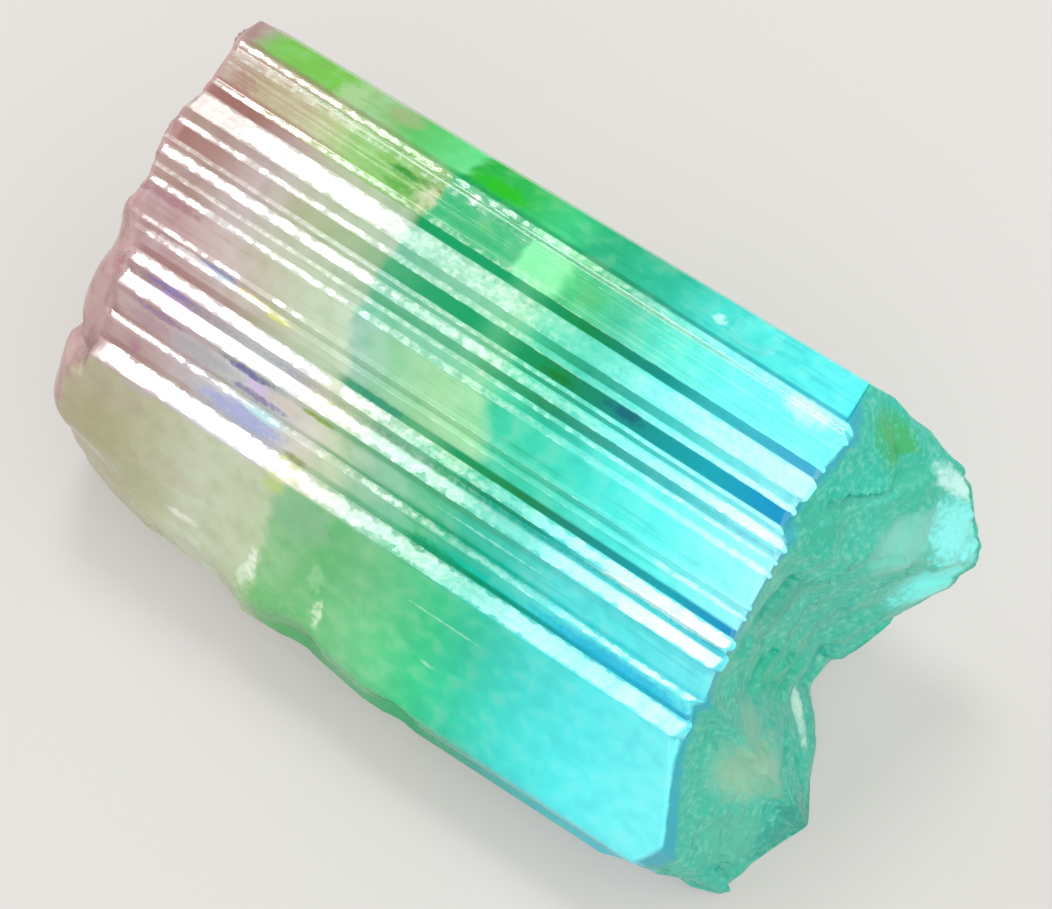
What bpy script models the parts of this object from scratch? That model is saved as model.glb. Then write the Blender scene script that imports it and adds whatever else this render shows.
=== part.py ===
"""Tourmaline crystal: one striated prism lying on its side, worn at one end and broken at the other.

The long axis runs along X with the worn end at -X, and the crystal rests on a flat prism face.
Sizes are in millimetres until a vertex is made.
"""

import math
import random

import bmesh
import bpy
import numpy as np
from mathutils import Vector, noise
from mathutils.geometry import delaunay_2d_cdt

MM = 0.001

# Lengths along the long axis
PRISM_LENGTH = 20.95

# The upper striated side is laid out in a frame turned this far from level about the long axis.
# ACROSS runs down the side from its back edge, OUT stands away from the crystal.
SIDE_TURN = math.radians(24)
BACK_STRIP_FOOT = 0.79
BACK_STRIP_DROP = 2.0
BACK_EDGE_WORN = 0.0
BACK_EDGE_BROKEN = -0.48
CREST_AT = 4.2
CREST_RADIUS = 8.3
FRONT_FACE_TILT = math.radians(42)
FRONT_FACE_ACROSS = 3.75
FRONT_FACE_PARTS = 5
FRONT_EDGE_WORN = 14.95
FRONT_EDGE_BROKEN = 14.6
# The rounded front edge as (share of the way across to the edge, drop)
FRONT_EDGE_ROUND = ((0.62, 0.36), (0.93, 0.75), (1.0, 1.1))

# One stria is a crest facet and the falling facet that comes back to the arch of the side.
STRIAE = (
    (0.21, 0.155),
    (0.155, 0.80),
    (0.19, 0.28),
    (0.655, 0.27),
    (0.23, 0.42),
    (0.115, 0.13),
    (0.37, 0.21),
    (0.13, 0.23),
    (0.21, 0.86),
    (0.19, 0.135),
    (0.17, 0.47),
    (0.39, 0.15),
    (0.58, 0.735),
    (0.235, 0.63),
    (0.585, 0.0),
)
CREST_TILT_BACK = math.radians(26)
CREST_TILT_FRONT = math.radians(16)
# The relief of each facet drifts along its length, each in its own way
RELIEF_DRIFT = 0.3
DRIFT_PER_MM = 0.16
DRIFT_PER_FACET = 0.37
DRIFT_SEED = 5.2

# The hidden sides, in the section's own Y and Z before it is set on its base
BASE_HEIGHT = 13.9
BASE_FRONT = -9.0
BASE_BACK = -2.6
BASE_POINTS = 7
LOWER_SIDE_BULGE = 0.45
LOWER_SIDE_STRIAE = 3
BACK_SIDE_BULGE = 2.7
BACK_SIDE_STRIAE = 12
HIDDEN_CREST_SHARE = 0.45
HIDDEN_RELIEF = 0.13
HIDDEN_NARROWEST = 0.5
HIDDEN_WIDEST = 1.5

# Worn end: the radius of its edge, and the growth steps that stand out from it
WORN_EDGE_BACK = 0.2
WORN_EDGE_FRONT = 1.3
WORN_EDGE_FROM = 5.8
WORN_EDGE_TO = 7.6
WORN_STEPS = ((6.0, 0.32), (10.9, 0.2))
WORN_STEP_RAMP = 0.3
WORN_MOUNDS = ((0.3, -1.5, 1.5, 0.5), (3.9, -0.6, 1.7, 0.35), (8.7, -1.4, 2.2, 0.42))
WORN_HILLOCK = 0.2
HILLOCKS_PER_MM = 0.45
HILLOCK_SEED = 3.1
# The striae fade out where the edge of the worn end is rounded
STRIA_FADE_FROM = 0.75
STRIA_FADE = 0.7

# The lower front edge is rubbed in near the worn end: (distance from that end, depth)
RUBBED_EDGE = ((1.6, 0.9), (3.4, 0.72), (6.0, 0.7), (6.9, 0.42), (7.3, 0.22), (9.7, 0.3), (11.8, 0.0))
RUBBED_ACROSS = 3.0
RUBBED_FROM_DROP = 2.5
RUBBED_TO_DROP = 5.5

# Broken end: facets of the break as (height at the crest line, rise across, rise with depth).
# The facets of a lump meet in ridges. The last one is the floor between the two lumps.
BREAK_LUMPS = (
    ((0.0, 0.0, 0.36), (3.12, -0.633, 0.15), (-1.03, 0.81, 0.557)),
    ((-6.98, 0.755, 0.15), (-0.3, 0.0, 0.318), (14.28, -1.1, 0.4)),
    ((0.1, 0.0, 0.04), (-1.03, 0.81, 0.557)),
)
# Ledges as (across of the ledge at the crest, lean with depth, height)
BREAK_LEDGES = ((4.26, 0.84, 0.35), (8.9, -0.22, -0.35))
LEDGE_RAMP = 0.3
# Ribs around the point where the break began
RIB_FOCUS = (4.5, 0.5)
RIB_SPACING = 1.9
RIB_HEIGHT = 0.05
SPLINTER_SIZE = 1.7
SPLINTER_TILT = 0.16
SPLINTER_SEED = 7.3
BREAK_GRAIN = 0.12
# The break is smooth at the striated rim, and rough from here on down
ROUGH_FROM = 0.2
ROUGH_TO = 2.5
GRAINS_PER_MM = 0.9
GRAIN_SEED = 7.7

# Chips along the edges: (distance from the worn end, across, out, radius, depth)
CHIPS = (
    (9.3, 14.3, -6.0, 1.1, 0.2),
    (13.1, 14.5, -6.2, 0.9, 0.25),
    (17.2, 0.2, -1.6, 0.8, 0.22),
    (22.0, 14.4, -7.4, 1.9, 0.4),
)

# Resolution
STATIONS = 24
EDGE_RINGS = 4
EDGE_TURN = 80.0
CAP_SPACING = 0.72
CAP_JITTER = 0.2
CAP_MARGIN = 0.084
SAME = 1e-6
SEED = 11


def ramp(value, start, end):
    """Smooth 0 to 1 as value goes from start to end."""
    share = min(max((value - start) / (end - start), 0.0), 1.0)
    return share * share * (3.0 - 2.0 * share)


def from_side(across, out):
    """Section Y and Z of a point given in the turned frame of the upper side."""
    return np.array(
        (
            -across * math.cos(SIDE_TURN) - out * math.sin(SIDE_TURN),
            -across * math.sin(SIDE_TURN) + out * math.cos(SIDE_TURN),
        )
    )


def to_side(point):
    """The reverse of from_side: (across, out) of a section point."""
    y, z = point
    return (
        -y * math.cos(SIDE_TURN) - z * math.sin(SIDE_TURN),
        -y * math.sin(SIDE_TURN) + z * math.cos(SIDE_TURN),
    )


def arch(across):
    """Height of the upper side's smooth arch in its turned frame."""
    return -((across - CREST_AT) ** 2) / (2.0 * CREST_RADIUS)


def upper_side():
    """Points of the upper striated side as pairs: with its striae, and on the plain arch."""
    across = BACK_STRIP_FOOT
    out = arch(across)
    pairs = [(from_side(across, out), from_side(across, out))]
    width = sum(crest + fall for crest, fall in STRIAE)
    for crest, fall in STRIAE:
        share = (across - BACK_STRIP_FOOT) / width
        tilt = CREST_TILT_BACK + (CREST_TILT_FRONT - CREST_TILT_BACK) * share
        across += crest
        out += crest * math.tan(tilt)
        pairs.append((from_side(across, out), from_side(across, arch(across))))
        if fall:
            across += fall
            out = arch(across)
            pairs.append((from_side(across, out), from_side(across, out)))
    return pairs, across, out


def front_face(across, out, edge):
    """The smooth face in front, and the rounded edge below it that reaches across to edge."""
    foot_across = across + FRONT_FACE_ACROSS
    foot_out = out - FRONT_FACE_ACROSS * math.tan(FRONT_FACE_TILT)
    points = []
    for part in range(1, FRONT_FACE_PARTS + 1):
        share = part / FRONT_FACE_PARTS
        at_across = across + (foot_across - across) * share
        at_out = out + (foot_out - out) * share
        points.append(from_side(at_across, at_out))
    inset = edge - foot_across
    for share, drop in FRONT_EDGE_ROUND:
        points.append(from_side(foot_across + inset * share, foot_out - drop))
    return [(point, point) for point in points]


def bulged_side(start, end, bulge, count, draws):
    """A hidden striated side: seeded crest and fall facets along an arc from start to end."""
    chord = end - start
    length = float(np.hypot(*chord))
    outward = np.array((chord[1], -chord[0])) / length
    widths = [draws.uniform(HIDDEN_NARROWEST, HIDDEN_WIDEST) for _ in range(count)]
    pairs = []
    reached = 0.0
    for width in widths:
        share = width / sum(widths)
        for step, lift in ((HIDDEN_CREST_SHARE, HIDDEN_RELIEF * width), (1.0, 0.0)):
            at = reached + share * step
            arc = start + chord * at + outward * bulge * 4.0 * at * (1.0 - at)
            pairs.append((arc + outward * lift, arc))
        reached += share
    return pairs[:-1]


def section(share):
    """Two closed outlines of the prism, striated and plain, share of the way to the broken end."""
    draws = random.Random(SEED)
    upper, across, out = upper_side()
    back_across = BACK_EDGE_WORN + (BACK_EDGE_BROKEN - BACK_EDGE_WORN) * share
    front_across = FRONT_EDGE_WORN + (FRONT_EDGE_BROKEN - FRONT_EDGE_WORN) * share
    back_edge = from_side(back_across, -BACK_STRIP_DROP)
    front = front_face(across, out, front_across)
    base_front = np.array((BASE_FRONT, -BASE_HEIGHT))
    base_back = np.array((BASE_BACK, -BASE_HEIGHT))
    lower = bulged_side(front[-1][0], base_front, LOWER_SIDE_BULGE, LOWER_SIDE_STRIAE, draws)
    base = [base_front + (base_back - base_front) * at for at in np.linspace(0.0, 1.0, BASE_POINTS)]
    back = bulged_side(base_back, back_edge, BACK_SIDE_BULGE, BACK_SIDE_STRIAE, draws)
    pairs = upper + front + lower + [(point, point) for point in base] + back
    pairs.append((back_edge, back_edge))
    striated, plain = (np.array(points) for points in zip(*pairs))
    return striated, plain


def rubbed(along):
    """How far the lower front edge is rubbed in at a distance from the worn end."""
    stops, depths = zip(*RUBBED_EDGE)
    return float(np.interp(along, stops, depths))


def mound(across, out, shape):
    """Height of one smooth mound or hollow at a place in the turned frame."""
    at_across, at_out, radius, rise = shape
    away = math.hypot(across - at_across, out - at_out) / radius
    return rise * (0.5 + 0.5 * math.cos(math.pi * min(away, 1.0)))


def worn_out(point):
    """How far the worn end stands out from its base plane at a section point."""
    across, out = to_side(point)
    steps = sum(height * ramp(across, at, at + WORN_STEP_RAMP) for at, height in WORN_STEPS)
    mounds = sum(mound(across, out, shape) for shape in WORN_MOUNDS)
    hillock_at = Vector((across * HILLOCKS_PER_MM, out * HILLOCKS_PER_MM, HILLOCK_SEED))
    return steps + mounds + WORN_HILLOCK * noise.noise(hillock_at)


def splinters(across, out):
    """Small flat facets of the break, each tilted its own way."""
    place = Vector((across, out, 0.0)) / SPLINTER_SIZE
    _, centres = noise.voronoi(place)
    tilt = noise.cell_vector(centres[0] * SPLINTER_SEED) * 2.0 - Vector((1.0, 1.0, 1.0))
    offset = (place - centres[0]) * SPLINTER_SIZE
    return SPLINTER_TILT * (tilt.x * offset.x + tilt.y * offset.y)


def broken_out(point):
    """How far the broken end stands out from the rim plane at a section point."""
    across, out = to_side(point)
    lumps = []
    for facets in BREAK_LUMPS:
        lumps.append(min(start + side * across - deep * out for start, side, deep in facets))
    height = max(lumps)
    for at, lean, rise in BREAK_LEDGES:
        height += rise * ramp(across - lean * out, at, at + LEDGE_RAMP)
    from_focus = math.hypot(across - RIB_FOCUS[0], out - RIB_FOCUS[1])
    relief = RIB_HEIGHT * math.sin(math.tau * from_focus / RIB_SPACING)
    relief += splinters(across, out)
    grain_at = Vector((across * GRAINS_PER_MM, out * GRAINS_PER_MM, GRAIN_SEED))
    relief += BREAK_GRAIN * noise.noise(grain_at)
    return height + relief * ramp(arch(across) - out, ROUGH_FROM, ROUGH_TO)


def worn_radius(point):
    """Radius of the worn end's edge at a section point: sharp behind, rounded in front."""
    across, _ = to_side(point)
    share = ramp(across, WORN_EDGE_FROM, WORN_EDGE_TO)
    return WORN_EDGE_BACK + (WORN_EDGE_FRONT - WORN_EDGE_BACK) * share


def chipped(along, point, centre):
    """The section point moved in where a chip is broken from an edge."""
    across, out = to_side(point)
    for at_along, at_across, at_out, radius, depth in CHIPS:
        away = math.dist((along, across, out), (at_along, at_across, at_out)) / radius
        if away < 1.0:
            inward = (centre - point) / np.linalg.norm(centre - point)
            point = point + inward * depth * (1.0 - away * away)
    return point


def station_point(outlines, index, along, centre):
    """The prism's section point at a distance from the worn end."""
    share = along / PRISM_LENGTH
    (rough_worn, plain_worn), (rough_broken, plain_broken) = outlines
    rough = rough_worn[index] + (rough_broken[index] - rough_worn[index]) * share
    plain = plain_worn[index] + (plain_broken[index] - plain_worn[index]) * share
    if plain[1] < -BASE_HEIGHT + SAME:
        return plain
    fade_from = STRIA_FADE_FROM * worn_radius(plain)
    relief = ramp(along, fade_from, fade_from + STRIA_FADE)
    if to_side(plain)[0] < WORN_EDGE_FROM:
        relief = 1.0
    drift = noise.noise(Vector((along * DRIFT_PER_MM, index * DRIFT_PER_FACET, DRIFT_SEED)))
    point = plain + (rough - plain) * relief * (1.0 + RELIEF_DRIFT * drift)
    across, out = to_side(point)
    near_edge = ramp(across, FRONT_EDGE_WORN - RUBBED_ACROSS, FRONT_EDGE_WORN)
    below_crest = ramp(-out, RUBBED_FROM_DROP, RUBBED_TO_DROP)
    point = from_side(across - rubbed(along) * near_edge * below_crest, out)
    return chipped(along, point, centre)


def cap_points(rim, centre):
    """Jittered points inside a rim, on a staggered grid."""
    draws = random.Random(SEED + 1)
    inner = [centre + (point - centre) * (1.0 - CAP_MARGIN) for point in rim]
    low = np.min(inner, axis=0)
    high = np.max(inner, axis=0)
    points = []
    row = 0
    up = low[1]
    while up < high[1]:
        side = low[0] + (row % 2) * CAP_SPACING / 2.0
        while side < high[0]:
            at_side = side + draws.uniform(-CAP_JITTER, CAP_JITTER) * CAP_SPACING
            at_up = up + draws.uniform(-CAP_JITTER, CAP_JITTER) * CAP_SPACING
            point = np.array((at_side, at_up))
            if inside(point, inner):
                points.append(point)
            side += CAP_SPACING
        up += CAP_SPACING * math.sqrt(3.0) / 2.0
        row += 1
    return points


def inside(point, outline):
    """Whether a point is inside a closed outline."""
    odd = False
    before = outline[-1]
    for here in outline:
        if (here[1] > point[1]) != (before[1] > point[1]):
            crossing = before[0] + (here[0] - before[0]) * (point[1] - before[1]) / (here[1] - before[1])
            if point[0] < crossing:
                odd = not odd
        before = here
    return odd


def add_cap(mesh, rim_verts, rim, centre, out_of_plane, origin, facing):
    """Close a rim with a rough end whose depth comes from out_of_plane."""
    points = cap_points(rim, centre)
    flat = [Vector((float(y), float(z))) for y, z in list(rim) + points]
    loop = list(range(len(rim)))
    _, _, faces, originals, _, _ = delaunay_2d_cdt(flat, [], [loop], 1, SAME)
    verts = list(rim_verts)
    for y, z in points:
        along = origin + facing * out_of_plane(np.array((y, z)))
        verts.append(mesh.verts.new((along * MM, y * MM, (z + BASE_HEIGHT) * MM)))
    for face in faces:
        corners = [verts[originals[index][0]] for index in face]
        mesh.faces.new(corners)


def crystal_mesh():
    """The whole crystal as one closed mesh."""
    outlines = (section(0.0), section(1.0))
    plain = outlines[0][1]
    count = len(plain)
    centre = (plain.min(axis=0) + plain.max(axis=0)) / 2.0
    worn_at = np.array([-worn_out(point) for point in plain])
    broken_at = np.array([PRISM_LENGTH + broken_out(point) for point in outlines[1][0]])
    radii = np.array([worn_radius(point) for point in plain])
    rings = []
    for step in range(EDGE_RINGS):
        turn = math.radians(EDGE_TURN) * (1.0 - step / EDGE_RINGS)
        ring = []
        for index in range(count):
            along = worn_at[index] + radii[index] * (1.0 - math.sin(turn))
            point = station_point(outlines, index, max(along, 0.0), centre)
            inward = (centre - point) / np.linalg.norm(centre - point)
            point = point + inward * radii[index] * (1.0 - math.cos(turn))
            point[1] = max(point[1], -BASE_HEIGHT)
            ring.append((along, point))
        rings.append(ring)
    for share in np.linspace(0.0, 1.0, STATIONS + 1):
        ring = []
        for index in range(count):
            start = worn_at[index] + radii[index]
            along = start + (broken_at[index] - start) * share
            ring.append((along, station_point(outlines, index, along, centre)))
        rings.append(ring)

    mesh = bmesh.new()
    rows = []
    for ring in rings:
        rows.append(
            [mesh.verts.new((along * MM, y * MM, (z + BASE_HEIGHT) * MM)) for along, (y, z) in ring]
        )
    for near, far in zip(rows, rows[1:]):
        for index in range(count):
            after = (index + 1) % count
            mesh.faces.new((near[index], near[after], far[after], far[index]))
    worn_rim = [point for _, point in rings[0]]
    broken_rim = [point for _, point in rings[-1]]
    add_cap(mesh, rows[0], worn_rim, centre, worn_out, 0.0, -1.0)
    add_cap(mesh, rows[-1], broken_rim, centre, broken_out, PRISM_LENGTH, 1.0)
    bmesh.ops.recalc_face_normals(mesh, faces=mesh.faces)
    return mesh


def centred(mesh):
    """Move the mesh so that the middle of its box's lower side is the origin."""
    spots = np.array([vertex.co for vertex in mesh.verts])
    low = spots.min(axis=0)
    high = spots.max(axis=0)
    shift = Vector((-(low[0] + high[0]) / 2.0, -(low[1] + high[1]) / 2.0, -low[2]))
    bmesh.ops.translate(mesh, verts=mesh.verts, vec=shift)


def green_crystal():
    """Clear green material of the crystal."""
    material = bpy.data.materials.new("tourmaline")
    material.use_nodes = True
    shader = material.node_tree.nodes["Principled BSDF"]
    shader.inputs["Base Color"].default_value = (0.32, 0.72, 0.6, 1.0)
    shader.inputs["Roughness"].default_value = 0.12
    shader.inputs["Metallic"].default_value = 0.0
    shader.inputs["IOR"].default_value = 1.63
    return material


def main():
    """Build the crystal in a collection named for it."""
    for obj in list(bpy.data.objects):
        bpy.data.objects.remove(obj)
    collection = bpy.data.collections.new("tourmaline_crystal")
    bpy.context.scene.collection.children.link(collection)
    mesh = crystal_mesh()
    centred(mesh)
    data = bpy.data.meshes.new("tourmaline_crystal")
    mesh.to_mesh(data)
    mesh.free()
    data.materials.append(green_crystal())
    collection.objects.link(bpy.data.objects.new("tourmaline_crystal", data))


main()
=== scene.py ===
"""Tourmaline crystal, dressed: one clear striated prism.

It is pinkish grey at its worn end, green in the middle and blue at its broken end.
Sizes are in millimetres in the crystal's own frame until a vertex is made. ALONG runs down the prism
from the worn end. ACROSS and OUT lie in the turned frame of the upper striated side.
"""

import logging
import math
import random
from dataclasses import dataclass, field
from enum import Enum

import bmesh
import bpy
import numpy as np
from mathutils import Matrix, Vector, noise
from mathutils.geometry import delaunay_2d_cdt


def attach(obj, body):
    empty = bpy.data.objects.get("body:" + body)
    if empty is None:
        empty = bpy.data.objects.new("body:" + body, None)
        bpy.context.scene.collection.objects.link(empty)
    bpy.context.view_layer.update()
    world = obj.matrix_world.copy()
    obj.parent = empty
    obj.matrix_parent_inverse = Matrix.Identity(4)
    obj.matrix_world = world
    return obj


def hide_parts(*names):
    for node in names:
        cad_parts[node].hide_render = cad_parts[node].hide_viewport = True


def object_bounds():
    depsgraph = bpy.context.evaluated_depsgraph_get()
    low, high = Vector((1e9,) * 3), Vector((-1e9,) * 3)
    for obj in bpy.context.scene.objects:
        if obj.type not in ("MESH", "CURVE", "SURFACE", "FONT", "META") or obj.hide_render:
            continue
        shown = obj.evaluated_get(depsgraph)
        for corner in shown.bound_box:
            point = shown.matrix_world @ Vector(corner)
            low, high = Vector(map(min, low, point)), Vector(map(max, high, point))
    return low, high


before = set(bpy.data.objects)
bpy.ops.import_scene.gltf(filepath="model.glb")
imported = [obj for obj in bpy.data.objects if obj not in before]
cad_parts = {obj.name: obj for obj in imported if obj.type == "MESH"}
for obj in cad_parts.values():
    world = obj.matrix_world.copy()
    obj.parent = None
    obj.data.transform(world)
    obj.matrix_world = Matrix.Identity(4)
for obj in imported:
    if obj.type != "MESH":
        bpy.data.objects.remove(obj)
CAD_BOX = [list(corner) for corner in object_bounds()]

LOG = logging.getLogger("tourmaline")
MM = 0.001
PHOTO_WIDTH = 1052.0

Array = np.ndarray
Colour = tuple[float, float, float]
Profile = tuple[tuple[float, float], ...]
Rgb = tuple[int, int, int]
Zones = tuple[tuple[float, Rgb], ...]

DISPLAY_MAX = 255.0
BLACK_KNEE, BLACK_SLOPE, BLACK_LIFT, GAMMA = 0.04045, 12.92, 0.055, 2.4
TINY = 1e-9
INSIDE_ONLY = 1
MIX_SHARE, MIX_FIRST, MIX_SECOND, MIX_RESULT = 0, 6, 7, 2


class Surface(Enum):
    """The kinds of surface that meet round the prism."""

    CREST = "crest"
    FALL = "fall"
    FRONT = "front"
    ROUND = "round"
    HIDDEN = "hidden"
    BASE = "base"
    STRIP = "strip"


class Ending(Enum):
    """The two ends of the prism."""

    WORN = "worn"
    BROKEN = "broken"


SPACING = {
    Surface.CREST: 0.032,
    Surface.FALL: 0.036,
    Surface.FRONT: 0.1,
    Surface.ROUND: 0.1,
    Surface.HIDDEN: 0.25,
    Surface.BASE: 0.8,
    Surface.STRIP: 0.1,
}


def ramp(value: Array | float, start: Array | float, end: Array | float) -> Array:
    """Smooth step: 0 before start, 1 after end."""
    share = np.clip((np.asarray(value, float) - start) / (np.asarray(end, float) - start), 0.0, 1.0)
    return share * share * (3.0 - 2.0 * share)


def linear(colour: Rgb) -> Colour:
    """Turn a display colour into a linear one.

    Args:
        colour: red, green and blue from 0 to 255.

    Returns:
        The linear colour from 0 to 1.
    """
    shares = [channel / DISPLAY_MAX for channel in colour]
    curved = [((share + BLACK_LIFT) / (1.0 + BLACK_LIFT)) ** GAMMA for share in shares]
    straight = [share / BLACK_SLOPE for share in shares]
    return tuple(low if share <= BLACK_KNEE else high for share, low, high in zip(shares, straight, curved))


@dataclass(frozen=True)
class SideFrame:
    """The upper striated side's own frame, turned about the long axis, and its place in the part."""

    turn: float = math.radians(24.0)
    worn_end_at: float = -11.884
    shift_y: float = 4.3324
    base_height: float = 13.9
    crest_at: float = 4.2
    crest_radius: float = 8.3

    def section(self, across: Array, out: Array) -> tuple[Array, Array]:
        """Section Y and Z of places across and out."""
        cos, sin = math.cos(self.turn), math.sin(self.turn)
        return -across * cos - out * sin, -across * sin + out * cos

    def side(self, y: Array, z: Array) -> tuple[Array, Array]:
        """Across and out of places in the section."""
        cos, sin = math.cos(self.turn), math.sin(self.turn)
        return -y * cos - z * sin, -y * sin + z * cos

    def arch(self, across: Array) -> Array:
        """Height of the side's smooth arch at a distance across it."""
        return -((across - self.crest_at) ** 2) / (2.0 * self.crest_radius)

    def part(self, along: Array, y: Array, z: Array) -> Array:
        """Vertices in metres in the part's frame, one row of X, Y and Z for each point."""
        spots = (along + self.worn_end_at, y + self.shift_y, z + self.base_height)
        return np.stack([np.ravel(spot) for spot in spots], axis=1) * MM


@dataclass(frozen=True)
class Stria:
    """One ridge of the upper side: how wide its crest facet and its fall are, and how they look.

    shine and shade are pairs of distance along and strength. dark holds the stretches of the fall
    that the shade fills, as shares of its width. drift is how far the crest has moved across at the
    broken end.
    """

    crest: float
    fall: float
    shine: Profile
    shade: Profile = ((0.0, 0.0),)
    dark: Profile = ((-0.1, 1.1),)
    drift: float = 0.0


@dataclass
class Outline:
    """A closed outline of the prism, with its striae and without, and what each stretch is."""

    rough: Array
    plain: Array
    kinds: list[Surface]
    owners: list[int]


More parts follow.
